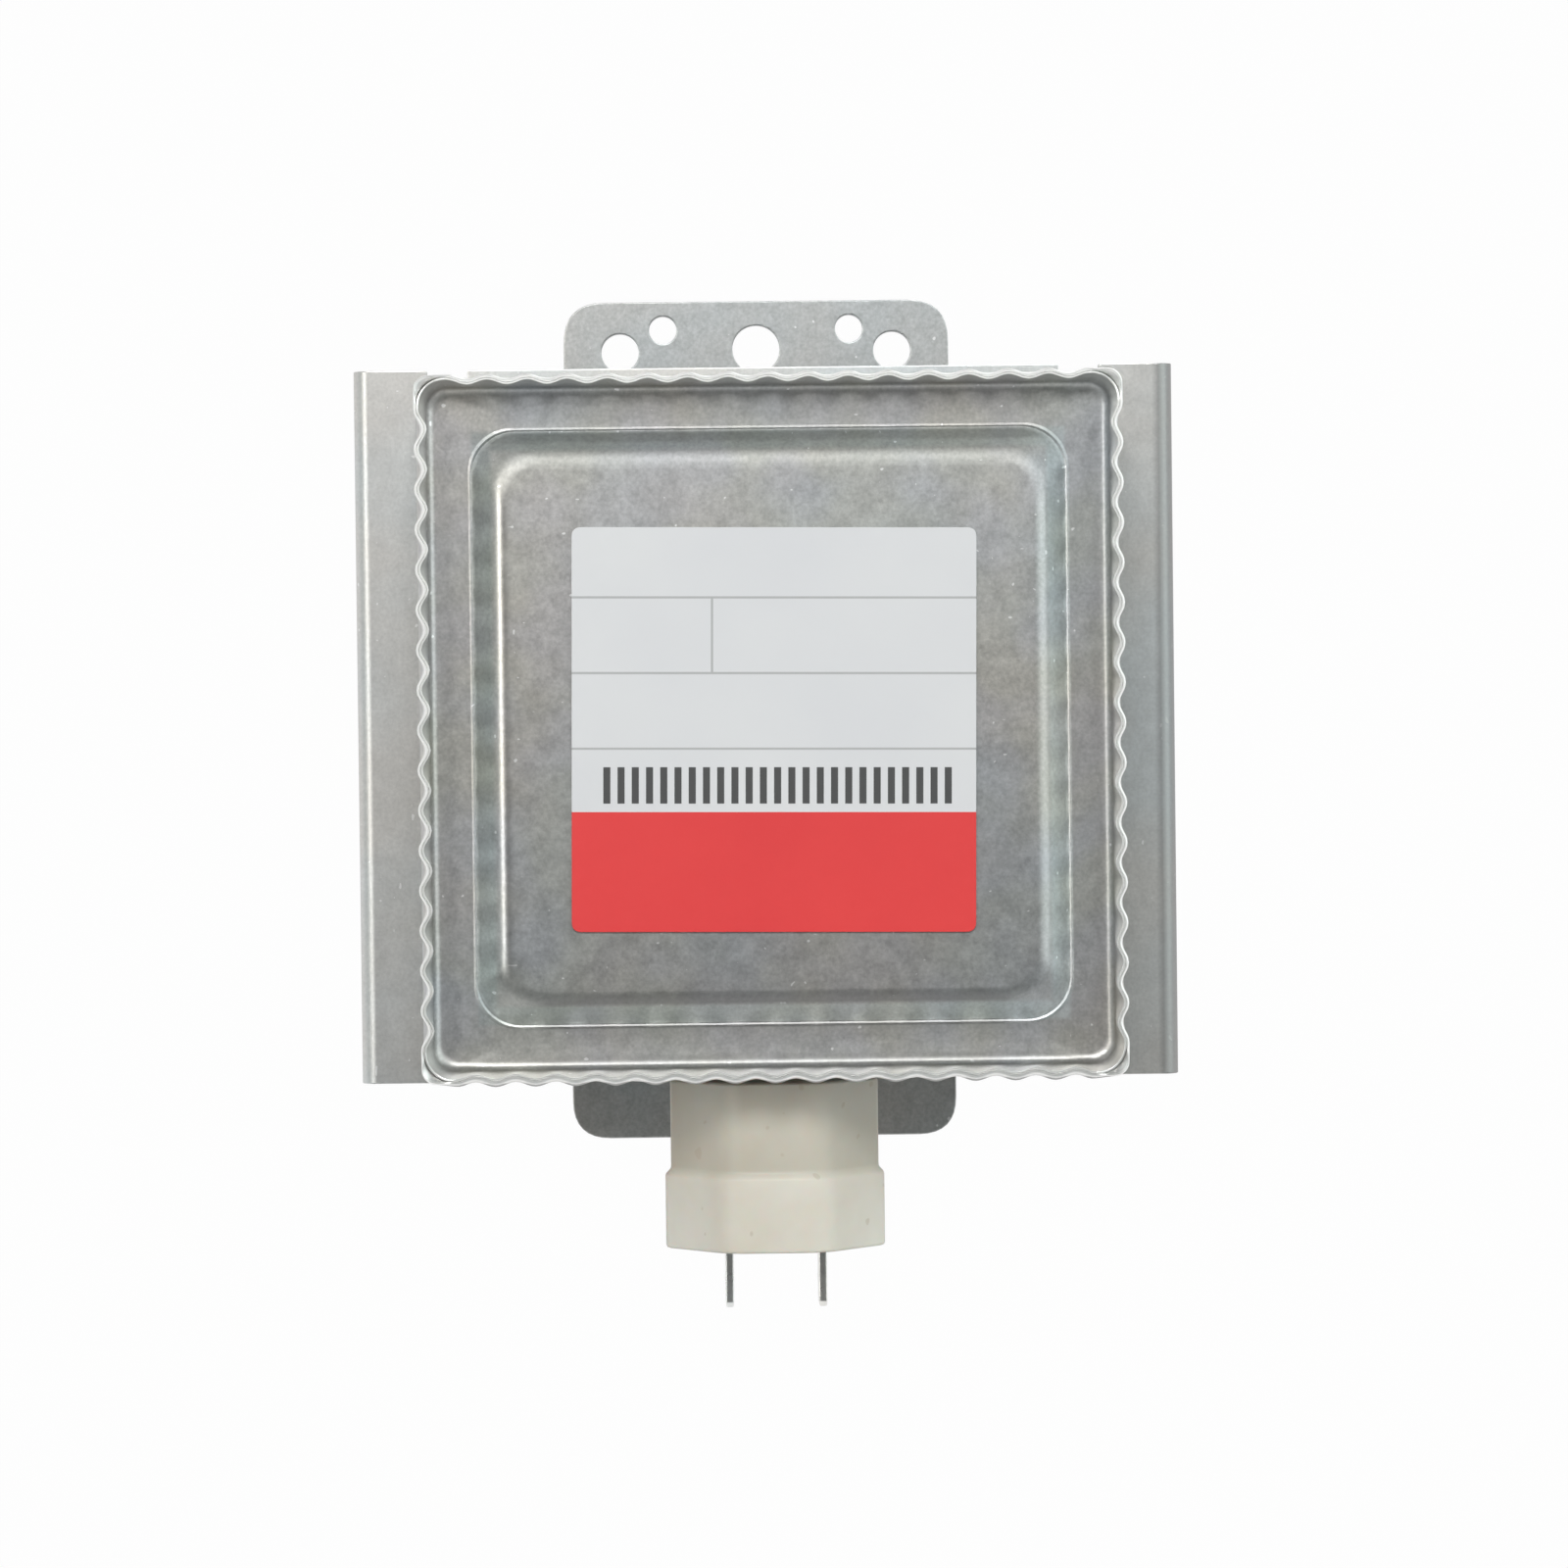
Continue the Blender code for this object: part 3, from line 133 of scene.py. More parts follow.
# Bands on the lid for its painted light and shade and for its shoulder's roughness: the half widths over
# which each one rises, and over which it falls again
CREASE = ((29.6, 30.8), (31.0, 31.4))
SHOULDER = ((29.0, 29.8), (31.8, 32.4))
SLOPE = ((31.0, 31.6), (33.2, 33.7))
RIDGE = ((33.3, 33.5), (33.85, 34.05))
FOOT = ((37.5, 37.8), (38.4, 38.7))

# Tints of the plating, the colour of bare edges with painted light, the painted cool tint of the slopes'
# reflection, and the range in which nearly all of a noise lies
WARM = (1.0, 0.985, 0.95, 1.0)
COOL = (0.955, 0.995, 1.0, 1.0)
YELLOWED = (1.0, 0.985, 0.945, 1.0)
VIOLET = (0.985, 0.975, 1.0, 1.0)
BARE_AND_LIT = (0.98, 0.98, 0.96, 1.0)
SLOPE_REFLECTION_TINT = (0.945, 1.0, 1.005, 1.0)
NOISE_RANGE = (0.3, 0.7)
TINT_RANGE = (0.38, 0.62)

# Camera: focal length in pixels of the picture's width, place in millimetres, pitch, yaw and roll in degrees
SENSOR = 36.0
FOCAL_PIXELS = 5905.0
PICTURE_PIXELS = 1600.0
CAMERA_PLACE = (-11.097, -737.121, 6.895)
CAMERA_ANGLES = (-1.1804, -1.091, 0.6682)


# Node helpers


def node(tree, kind, inputs=None, **settings):
    made = tree.nodes.new("ShaderNode" + kind)
    for key, value in settings.items():
        setattr(made, key, value)
    for key, value in (inputs or {}).items():
        if isinstance(value, bpy.types.NodeSocket):
            tree.links.new(value, made.inputs[key])
        else:
            made.inputs[key].default_value = value
    return made


def calc(tree, operation, first, second=0.0, clamp=False):
    made = node(tree, "Math", {0: first, 1: second}, operation=operation, use_clamp=clamp)
    return made.outputs[0]


def noise(tree, where, scale, detail=2.0, roughness=0.5):
    inputs = {"Vector": where, "Scale": scale, "Detail": detail, "Roughness": roughness}
    return node(tree, "TexNoise", inputs).outputs["Fac"]


def spread(tree, value, low, high, to_low, to_high):
    inputs = {"Value": value, "From Min": low, "From Max": high, "To Min": to_low, "To Max": to_high}
    return node(tree, "MapRange", inputs).outputs["Result"]


def vary(tree, value, low, high):
    """Spreads a noise between low and high."""
    return spread(tree, value, *NOISE_RANGE, low, high)


def ramp(tree, value, span, low=0.0, high=1.0):
    """Goes from low to high over a span of millimetres."""
    return spread(tree, value, span[0] * MM, span[1] * MM, low, high)


def strip(tree, value, spans, most=1.0):
    """Rises to most over the first span of millimetres and falls to nothing over the second."""
    rise, fall = spans
    return product(tree, ramp(tree, value, rise, 0.0, most), ramp(tree, value, fall, 1.0, 0.0))


def product(tree, *factors):
    made = factors[0]
    for factor in factors[1:]:
        made = calc(tree, "MULTIPLY", made, factor)
    return made


def scaled(tree, colour, gain):
    return node(tree, "VectorMath", {0: colour, "Scale": gain}, operation="SCALE").outputs[0]


def mix(tree, share, first, second, blend="MIX"):
    made = node(tree, "Mix", {"Factor": share}, data_type="RGBA", blend_type=blend)
    for socket, value in zip((made.inputs[6], made.inputs[7]), (first, second)):
        if isinstance(value, bpy.types.NodeSocket):
            tree.links.new(value, socket)
        else:
            socket.default_value = value
    return made.outputs[2]


def shade(value):
    return (value, value, value, 1.0)


def bump(tree, height, distance, strength, before=None):
    inputs = {"Height": height, "Distance": distance, "Strength": strength}
    if before:
        inputs["Normal"] = before
    return node(tree, "Bump", inputs).outputs["Normal"]


def new_material(name):
    made = bpy.data.materials.new(name)
    made.use_nodes = True
    tree = made.node_tree
    shader = tree.nodes["Principled BSDF"]
    where = node(tree, "TexCoord").outputs["Object"]
    return made, tree, shader, where


def plug(tree, shader, **sockets):
    names = {"colour": "Base Color", "rough": "Roughness", "normal": "Normal", "metal": "Metallic"}
    for key, value in sockets.items():
        socket = shader.inputs[names.get(key, key)]
        if isinstance(value, bpy.types.NodeSocket):
            tree.links.new(value, socket)
        else:
            socket.default_value = value


# Materials


def lid_painted_light_and_marks(tree, where, final, wear_and_painted_light):
    """The lid's and the rim's painted light and shade, and their bare cut edges: their colour, and what they
    add to the roughness.
    """
    across, along, up = node(tree, "SeparateXYZ", {0: where}).outputs
    reach = calc(tree, "MAXIMUM", calc(tree, "ABSOLUTE", across), calc(tree, "ABSOLUTE", up))

    # Painted light: the panel is lighter toward its top
    gain = product(tree, ramp(tree, reach, (31.0, 29.6)), ramp(tree, up, (-30.0, 30.0), -0.10, 0.13))
    final = scaled(tree, final, calc(tree, "ADD", gain, 1.0))

    # Painted light on the skirt, and bare metal with a painted highlight, strongest of all, on the cut edges
    skirt = ramp(tree, along, (-84.5, -86.6), 0.0, 0.55)
    edges = ramp(tree, along, (-87.7, -87.85), 0.0, wear_and_painted_light)
    bare_and_lit = product(tree, calc(tree, "MAXIMUM", skirt, edges), ramp(tree, reach, (36.6, 37.4)))
    final = mix(tree, bare_and_lit, final, BARE_AND_LIT)

    # Painted shade: the outside of the rolled rim is dark just behind its edge
    rim_shade = product(tree, ramp(tree, reach, (39.66, 39.82), 0.0, 0.6), ramp(tree, along, (-87.92, -87.8)))
    rim_shade = product(tree, rim_shade, ramp(tree, along, (-86.5, -83.0), 1.0, 0.0))
    final = mix(tree, rim_shade, final, shade(0.12))

    # Painted light and shade: the relief's slopes go from dark at the left and top to light at the right and
    # bottom, with a painted cool tint of their reflection
    turned = product(tree, calc(tree, "SUBTRACT", across, up), 1.0 / (33.0 * MM))
    sloped = strip(tree, reach, SLOPE)
    gain = product(tree, sloped, spread(tree, turned, -1.0, 1.0, -0.13, 0.25))
    final = scaled(tree, final, calc(tree, "ADD", gain, 1.0))
    final = mix(tree, sloped, final, SLOPE_REFLECTION_TINT, "MULTIPLY")

    # Painted shade in the straight part of the lower crease, ridge and foot
    foot = product(tree, strip(tree, reach, FOOT, 0.4), ramp(tree, along, (-85.0, -84.6)))
    lines = calc(tree, "MAXIMUM", strip(tree, reach, CREASE, 0.6), strip(tree, reach, RIDGE, 0.6))
    lower = ramp(tree, up, (-30.0, -27.0), 1.0, 0.0)
    straight = ramp(tree, calc(tree, "ABSOLUTE", across), (25.5, 28.5), 1.0, 0.0)
    painted_crease_shade = product(tree, calc(tree, "MAXIMUM", lines, foot), lower, straight)
    final = mix(tree, painted_crease_shade, final, shade(0.15))

    # The panel's shoulder is duller along the top and brighter at the left
    top = ramp(tree, up, (25.0, 30.0), 0.0, 0.2)
    left = ramp(tree, across, (-30.0, -25.0), -0.09, 0.0)
    return final, product(tree, calc(tree, "ADD", top, left), strip(tree, reach, SHOULDER))


def sheet_metal(name, colour, rough, grain=1.0, wear_and_painted_light=0.0, bend_shade=0.0):
    """Plated sheet steel: a fine mottled grain, cloudy tints and a few bright nicks; on the lid and rim also
    painted light and shade, and on the yoke's front right bend painted shade.
    """
    made, tree, shader, where = new_material(name)
    fine = noise(tree, where, 2300.0, 3.0, 0.6)
    blotch = noise(tree, where, 620.0, 2.0, 0.55)
    cloud = noise(tree, where, 45.0, 2.0, 0.5)
    tint = mix(tree, spread(tree, cloud, *TINT_RANGE, 0.0, 1.0), WARM, COOL)
    if wear_and_painted_light:
        stain = noise(tree, where, 120.0, 1.0, 0.5)
        stained = mix(tree, spread(tree, stain, *TINT_RANGE, 0.0, 1.0), YELLOWED, VIOLET)
        tint = mix(tree, 1.0, tint, stained, "MULTIPLY")
    base = mix(tree, 1.0, colour, tint, "MULTIPLY")
    fleck = vary(tree, fine, 1.0 - 0.13 * grain, 1.0 + 0.12 * grain)
    tone = calc(tree, "ADD", fleck, vary(tree, blotch, -0.06 * grain, 0.06 * grain))
    nick = spread(tree, noise(tree, where, 1300.0, 0.0), 0.82, 0.84, 0.0, 0.6)
    final = mix(tree, nick, scaled(tree, base, tone), shade(0.92))
    roughness = vary(tree, blotch, rough - 0.015 * grain, rough + 0.02 * grain)
    if wear_and_painted_light:
        final, rolled = lid_painted_light_and_marks(tree, where, final, wear_and_painted_light)
        roughness = calc(tree, "ADD", roughness, rolled)
    if bend_shade:
        # Painted shade on the yoke's front right bend
        across, along = node(tree, "SeparateXYZ", {0: where}).outputs[:2]
        front = ramp(tree, along, (-53.2, -52.2), 1.0, 0.0)
        rounded = product(tree, ramp(tree, across, (45.8, 46.9), 0.0, bend_shade), front)
        final = mix(tree, rounded, final, shade(0.2))
    dents = bump(tree, noise(tree, where, 110.0, 1.0), 0.03 * MM, 0.35 * grain)
    normal = bump(tree, fine, 0.008 * MM, 0.4 * grain, dents)
    plug(tree, shader, colour=final, rough=roughness, normal=normal, metal=1.0)
    return made


def plain_metal(name, colour, rough, scale=900.0, drawn=None):
    """Bare metal with a faint grain, stretched along one axis where it is drawn or rolled."""
    made, tree, shader, where = new_material(name)
    if drawn:
        where = node(tree, "Mapping", {"Vector": where, "Scale": drawn}).outputs["Vector"]
    grain = noise(tree, where, scale, 3.0, 0.6)
    cloud = noise(tree, where, 70.0, 2.0)
    toned = scaled(tree, colour, product(tree, vary(tree, grain, 0.93, 1.05), vary(tree, cloud, 0.9, 1.06)))
    roughness = vary(tree, grain, rough - 0.05, rough + 0.08)
    normal = bump(tree, grain, 0.01 * MM, 0.4)
    plug(tree, shader, colour=toned, rough=roughness, normal=normal, metal=1.0)
    return made


def mineral(name, colour, rough, speck, strength, soft=0.0):
    """Ferrite or fired ceramic: a matt body with fine specks and a grain that can be felt."""
    made, tree, shader, where = new_material(name)
    grain = noise(tree, where, 2600.0, 3.0, 0.65)
    cloud = noise(tree, where, 120.0, 2.0)
    tone = mix(tree, spread(tree, grain, 0.35, 0.7, 0.0, 1.0), colour, speck)
    final = mix(tree, vary(tree, cloud, 0.0, 0.35), tone, colour)
    normal = bump(tree, grain, 0.03 * MM, strength)
    roughness = vary(tree, cloud, rough - 0.06, rough + 0.06)
    plug(tree, shader, colour=final, rough=roughness, normal=normal)
    if soft:
        plug(tree, shader, **{"Subsurface Weight": soft, "Subsurface Scale": 1.5 * MM})
    return made


def moulded_plastic(name):
    """Cream moulded plastic: faint flow clouds, a fine spark-eroded grain, and painted shade that makes the
    stem darker toward its foot.
    """
    made, tree, shader, where = new_material(name)
    cloud = noise(tree, where, 90.0, 3.0, 0.55)
    grain = noise(tree, where, 3400.0, 2.0)
    base = mix(tree, vary(tree, cloud, 0.0, 1.0), (0.67, 0.62, 0.53, 1.0), (0.745, 0.715, 0.64, 1.0))
    up = node(tree, "SeparateXYZ", {0: where}).outputs[2]
    # Painted shade: the stem is darker than the cap, half as much at its top
    stem = product(tree, ramp(tree, up, (-51.8, -50.6)), ramp(tree, up, (-50.0, -41.0), 1.0, 0.5))
    base = mix(tree, stem, base, mix(tree, 1.0, base, (0.76, 0.74, 0.70, 1.0), "MULTIPLY"))
    speck = spread(tree, noise(tree, where, 520.0, 0.0), 0.78, 0.8, 0.0, 0.35)
    final = mix(tree, speck, base, (0.45, 0.36, 0.25, 1.0))
    normal = bump(tree, grain, 0.015 * MM, 0.35, bump(tree, cloud, 0.15 * MM, 0.25))
    plug(tree, shader, colour=final, rough=vary(tree, cloud, 0.4, 0.5), normal=normal)
    plug(tree, shader, **{"Subsurface Weight": 0.25, "Subsurface Scale": 2.0 * MM})
    return made


def knitted_mesh(name):
    """Fine wire knitted into a ring: two crossing sets of strands, with painted shade in the gaps between
    them.
    """
    made, tree, shader, where = new_material(name)
    across, along, up = node(tree, "SeparateXYZ", {0: where}).outputs
    turn = product(tree, calc(tree, "ARCTAN2", up, across), 130.0)
    squares = calc(tree, "ADD", product(tree, across, across), product(tree, up, up))
    depth = product(tree, calc(tree, "SUBTRACT", along, calc(tree, "SQRT", squares)), 9000.0)
    first = calc(tree, "ABSOLUTE", calc(tree, "SINE", calc(tree, "ADD", turn, depth)))
    second = calc(tree, "ABSOLUTE", calc(tree, "SINE", calc(tree, "SUBTRACT", turn, depth)))
    strand = calc(tree, "MAXIMUM", first, second)
    uneven = product(tree, strand, vary(tree, noise(tree, where, 700.0), 0.75, 1.1))
    gap_shade, wire = (0.10, 0.095, 0.09, 1.0), (0.66, 0.64, 0.60, 1.0)
    final = mix(tree, spread(tree, uneven, 0.55, 0.95, 0.0, 1.0), gap_shade, wire)
    plug(tree, shader, colour=final, rough=0.38, metal=1.0, normal=bump(tree, uneven, 0.12 * MM, 0.9))
    return made


def printed_label(name):
    """A printed film: off-white above, red below, thin rules and a row of even bars between them."""
    made, tree, shader, where = new_material(name)
    level = {"Vector": where, "Rotation": (0.0, -LABEL_TURN, 0.0), "Location": (-LABEL_SHIFT * MM, 0.0, 0.0)}
    flat = node(tree, "Mapping", level).outputs["Vector"]
    across, _, up = node(tree, "SeparateXYZ", {0: flat}).outputs

    def band(value, low, high):
        above = calc(tree, "GREATER_THAN", value, low * MM)
        return product(tree, above, calc(tree, "LESS_THAN", value, high * MM))

    rules = product(tree, band(across, DIVIDER, DIVIDER + RULE), band(up, RULES[1] + RULE, RULES[0]))
    for low in RULES:
        rules = calc(tree, "ADD", rules, band(up, low, low + RULE))
    saw = calc(tree, "FRACT", product(tree, across, 1.0 / (BAR_PITCH * MM)))
    row = product(tree, band(across, -BARS_HALF, BARS_HALF), band(up, *BARS))
    bars = product(tree, calc(tree, "LESS_THAN", saw, 0.5), row)
    red = calc(tree, "LESS_THAN", up, RED_TOP * MM)
    cloud = noise(tree, where, 60.0, 2.0)
    fibre = noise(tree, where, 2500.0, 2.0)
    share = vary(tree, cloud, 0.0, 1.0)
    paper = mix(tree, share, (0.68, 0.68, 0.70, 1.0), (0.71, 0.71, 0.72, 1.0))
    ink = mix(tree, share, (0.775, 0.052, 0.052, 1.0), (0.735, 0.045, 0.048, 1.0))
    final = mix(tree, red, paper, ink)
    final = mix(tree, product(tree, rules, 0.75), final, shade(0.36))
    final = mix(tree, product(tree, bars, 0.94), final, shade(0.03))
    normal = bump(tree, fibre, 0.01 * MM, 0.3, bump(tree, cloud, 0.2 * MM, 0.15))
    plug(tree, shader, colour=final, rough=vary(tree, fibre, 0.42, 0.52), normal=normal)
    return made


LOOKS = {
    "zinc": sheet_metal("zinc_plate", shade(0.465), 0.43, wear_and_painted_light=0.95),
    "yoke_zinc": sheet_metal("yoke_zinc_plate", shade(0.61), 0.43, 0.6, bend_shade=0.7),
    "dull_zinc": sheet_metal("dull_zinc_plate", shade(0.48), 0.43),
    "bright_zinc": sheet_metal("bright_zinc_plate", (0.80, 0.80, 0.79, 1.0), 0.28, 0.6),
    "aluminium": plain_metal("rolled_aluminium", (0.80, 0.81, 0.82), 0.3, 700.0, (0.12, 1.0, 1.0)),
    "copper": plain_metal("bare_copper", (0.78, 0.42, 0.28), 0.32),
    "iron": plain_metal("soft_iron", (0.48, 0.47, 0.46), 0.42),
    "tungsten": plain_metal("grey_tungsten", (0.36, 0.36, 0.37), 0.4, 1600.0),
    "ferrite": mineral("sintered_ferrite", (0.045, 0.045, 0.05, 1.0), 0.55, (0.10, 0.10, 0.105, 1.0), 0.5),
    "ceramic": mineral("white_alumina", (0.84, 0.81, 0.76, 1.0), 0.38, (0.78, 0.74, 0.68, 1.0), 0.15, 0.2),
    "wire_mesh": knitted_mesh("knitted_wire"),
    "cream_plastic": moulded_plastic("cream_plastic"),
    "label": printed_label("label_print"),
}


# Outlines and meshes, in millimetres until they are placed


def arc(centre, radius, start, end, steps):
    """Points of an arc, its angles in quarter turns."""
    points = []
    for step in range(steps + 1):
        angle = (start + (end - start) * step / steps) * math.tau / 4
        points.append((centre[0] + radius * math.cos(angle), centre[1] + radius * math.sin(angle)))
    return points


def circle(radius, centre=(0.0, 0.0), steps=64):
    return arc(centre, radius, 0, 4, steps)[:-1]


def eased(corners, radius, steps=5):
    """A polygon with each corner rounded; a corner may carry its own radius as a third number."""
    points = []
    for index, corner in enumerate(corners):
        here = Vector(corner[:2])
        before = Vector(corners[index - 1][:2]) - here
        after = Vector(corners[(index + 1) % len(corners)][:2]) - here
        size = corner[2] if len(corner) > 2 else radius
        half = before.angle(after) / 2
        run = min(size / math.tan(half), before.length * 0.49, after.length * 0.49)
        first = here + before.normalized() * run
        last = here + after.normalized() * run
        for step in range(steps + 1):
            share = step / steps
            weights = ((1 - share) ** 2, 2 * share * (1 - share), share**2)
            spot = first * weights[0] + here * weights[1] + last * weights[2]
            points.append(tuple(spot))
    return points


def inset(loop, distance):
    """The loop moved to its left side, which is inward where it runs anticlockwise."""
    moved = []
    for index, point in enumerate(loop):
        here = Vector(point)
        came = (here - Vector(loop[index - 1])).normalized()
        goes = (Vector(loop[(index + 1) % len(loop)]) - here).normalized()
        mean = (came + goes).normalized()
        reach = distance / max(0.5, mean.dot(goes))
        moved.append((here.x - mean.y * reach, here.y + mean.x * reach))
    return moved


def area(loop):
    return sum(a[0] * b[1] - b[0] * a[1] for a, b in zip(loop, loop[1:] + loop[:1])) / 2


def add_sheet(bm, outline, holes, thickness, edge):
    """A flat sheet round the plane of its two coordinates, its cut edges eased."""
    loops = [outline if area(outline) > 0 else outline[::-1]]
    loops += [hole if area(hole) < 0 else hole[::-1] for hole in holes]
    half = thickness / 2
    faces = {-1: [], 1: []}
    for loop in loops:
        levels = []
        margin = edge + 0.03
        soft = edge * 0.3
        for shift, depth in ((margin, -half), (edge, -half), (soft, -half + soft), (0, -half + edge)):
            levels.append((inset(loop, shift) if shift else loop, depth))
        levels += [(points, -depth) for points, depth in reversed(levels)]
        rings = [[bm.verts.new((x, depth, z)) for x, z in points] for points, depth in levels]
        for ring, following in zip(rings, rings[1:]):
            for index in range(len(ring)):
                after = (index + 1) % len(ring)
                bm.faces.new((ring[index], ring[after], following[after], following[index]))
        for side, ring in ((-1, rings[0]), (1, rings[-1])):
            for index in range(len(ring)):
                faces[side].append(bm.edges.get((ring[index], ring[(index + 1) % len(ring)])))
    for edges in faces.values():
        bmesh.ops.triangle_fill(bm, edges=edges, use_beauty=True, normal=(0, 1, 0))


def fillet(corners, radius, steps=5):
    """An open path with its inner corners rounded; a corner may carry its own radius as a third number."""
    path = [Vector(corners[0][:2])]
    for before, corner, after in zip(corners, corners[1:], corners[2:]):
        size = corner[2] if len(corner) > 2 else radius
        before, here, after = Vector(before[:2]), Vector(corner[:2]), Vector(after[:2])
        back, on = before - here, after - here
        half = back.angle(on) / 2
        if half > math.radians(89):
            path.append(here)
            continue
        run = min(size / math.tan(half), back.length * 0.49, on.length * 0.49)
        size = run * math.tan(half)
        centre = here + (back.normalized() + on.normalized()).normalized() * (size / math.sin(half))
        first = here + back.normalized() * run - centre
        turn = first.angle_signed(here + on.normalized() * run - centre)
        for step in range(steps + 1):
            swing = -turn * step / steps
            cosine, sine = math.cos(swing), math.sin(swing)
            turned = (first.x * cosine - first.y * sine, first.x * sine + first.y * cosine)
            path.append(centre + Vector(turned))
    path.append(Vector(corners[-1][:2]))
    return path


def bend(bm, path):
    """Bends a sheet along a path in the XY plane: a point's X is its distance along it from the middle."""
    lengths = [0.0]
    for first, second in zip(path, path[1:]):
        lengths.append(lengths[-1] + (second - first).length)
    middle = lengths[-1] / 2
    marks = [length - middle for length in lengths]
    for mark in marks[1:-1]:
        everything = bm.verts[:] + bm.edges[:] + bm.faces[:]
        bmesh.ops.bisect_plane(bm, geom=everything, plane_co=(mark, 0, 0), plane_no=(1, 0, 0), dist=1e-4)
    normals = []
    for index in range(len(path)):
        came = (path[index] - path[max(index - 1, 0)]) if index else (path[1] - path[0])
        goes = (path[min(index + 1, len(path) - 1)] - path[index]) if index < len(path) - 1 else came
        mean = (came.normalized() + goes.normalized()).normalized()
        stretch = 1 / max(0.3, mean.dot(goes.normalized()))
        normals.append(Vector((-mean.y, mean.x)) * stretch)
    for vertex in bm.verts:
        along, off, up = vertex.co
        index = 0
        while index < len(marks) - 2 and along > marks[index + 1]:
            index += 1
        share = (along - marks[index]) / (marks[index + 1] - marks[index])
        spot = path[index].lerp(path[index + 1], share)
        normal = normals[index].lerp(normals[index + 1], min(1.0, max(0.0, share)))
        vertex.co = (spot.x + normal.x * off, spot.y + normal.y * off, up)


def add_turned(bm, profile, steps=96, axis="Y"):
    """A closed profile of (radius, along) points turned about an axis."""
    rings = []
    for radius, along in profile:
        if radius < 1e-6:
            spot = (0, along, 0) if axis == "Y" else (0, 0, along)
            rings.append([bm.verts.new(spot)] * steps)
            continue
        ring = []
        for a, b in circle(radius, steps=steps):
            ring.append(bm.verts.new((a, along, b) if axis == "Y" else (a, b, along)))
        rings.append(ring)
    for ring, following in zip(rings, rings[1:] + rings[:1]):
        for step in range(steps):
            after = (step + 1) % steps
            corners = list(dict.fromkeys((ring[step], ring[after], following[after], following[step])))
            if len(corners) > 2:
                bm.faces.new(corners)


def add_rings(bm, rings, closed=False, caps=True):
    """Faces through rings of 3-D points that all have the same number of points."""
    laid = [[bm.verts.new(point) for point in ring] for ring in rings]
    following = laid[1:] + (laid[:1] if closed else [])
    for ring, other in zip(laid, following):
        for index in range(len(ring)):
            after = (index + 1) % len(ring)
            bm.faces.new((ring[index], ring[after], other[after], other[index]))
    if caps and not closed:
        bm.faces.new(laid[0])
        bm.faces.new(laid[-1])


def finish_piece(name, bm, look, replaced, place=(0, 0, 0), angle=32):
    """Scales a mesh in millimetres to metres, shades it and puts it in place of a CAD node."""
    bmesh.ops.remove_doubles(bm, verts=bm.verts, dist=1e-4)
    bmesh.ops.recalc_face_normals(bm, faces=bm.faces)
    mesh = bpy.data.meshes.new(name)
    bm.transform(Matrix.Translation(place))
    bm.transform(Matrix.Scale(MM, 4))
    bm.to_mesh(mesh)
    bm.free()
    mesh.shade_smooth()
    mesh.set_sharp_from_angle(angle=math.radians(angle))
    mesh.materials.append(LOOKS[look])
    made = bpy.data.objects.new(name, mesh)
    bpy.context.scene.collection.objects.link(made)
    flat = made.modifiers.new("flat_faces", "WEIGHTED_NORMAL")
    flat.mode = "FACE_AREA"
    flat.keep_sharp = True
    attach(made, "root")
    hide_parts(replaced)
    return made


def cut(target, add_cutters):
    """Cuts closed solids, in millimetres, from a piece and applies the cut."""
    bm = bmesh.new()
    add_cutters(bm)
    bmesh.ops.recalc_face_normals(bm, faces=bm.faces)
    bm.transform(Matrix.Scale(MM, 4))
    mesh = bpy.data.meshes.new("cutter")
    bm.to_mesh(mesh)
    bm.free()
    cutter = bpy.data.objects.new("cutter", mesh)
    bpy.context.scene.collection.objects.link(cutter)
    modifier = target.modifiers.new("cut", "BOOLEAN")
    modifier.operation = "DIFFERENCE"
    modifier.solver = "EXACT"
    modifier.object = cutter
    depsgraph = bpy.context.evaluated_depsgraph_get()
    result = bpy.data.meshes.new_from_object(target.evaluated_get(depsgraph))
    target.modifiers.remove(modifier)
    target.data = result
    bpy.data.objects.remove(cutter)
    result.shade_smooth()
    result.set_sharp_from_angle(angle=math.radians(32))


# Mounting plate and yoke


def mounting_plate():
    """A plate with a tab above and below, and notches in its sides for the yoke's tongues."""
    half, high, tab, reach = HALF_WIDTH, HALF_HEIGHT, TAB_HALF, TAB_REACH
    low, up = TONGUE[0] - TONGUE_GAP, TONGUE[1] + TONGUE_GAP
    floor = half - SHEET - TONGUE_GAP

    def notch(side, first, last):
        sizes = ((half, first, 0.2), (floor, first, 0.3), (floor, last, 0.3), (half, last, 0.2))
        return [(side * x, z, radius) for x, z, radius in sizes]

    outline = [(half, high, 1), (tab, high, 1.2), (tab, reach, 5.2), (-tab, reach, 5.2), (-tab, high, 1.2)]
    outline += [(-half, high, 1)] + notch(-1, up, low) + notch(-1, -low, -up) + [(-half, -high, 1)]
    outline += [(-tab, -high, 1.2), (-tab, -reach, 4.8), (tab, -reach, 4.8), (tab, -high, 1.2)]
    outline += [(half, -high, 1)] + notch(1, -up, -low) + notch(1, low, up)
    holes = [circle(TUBE_HOLE, steps=96), circle(*CENTRE_HOLE)]
    for _, side in SIDES:
        holes += [circle(radius, (side * x, z), steps) for radius, x, z, steps in TAB_HOLES]
    bm = bmesh.new()
    add_sheet(bm, eased(outline, 0.3, 8), holes, SHEET, 0.15)
    finish_piece("plate", bm, "dull_zinc", "mounting_plate", (0, -SHEET / 2, 0))


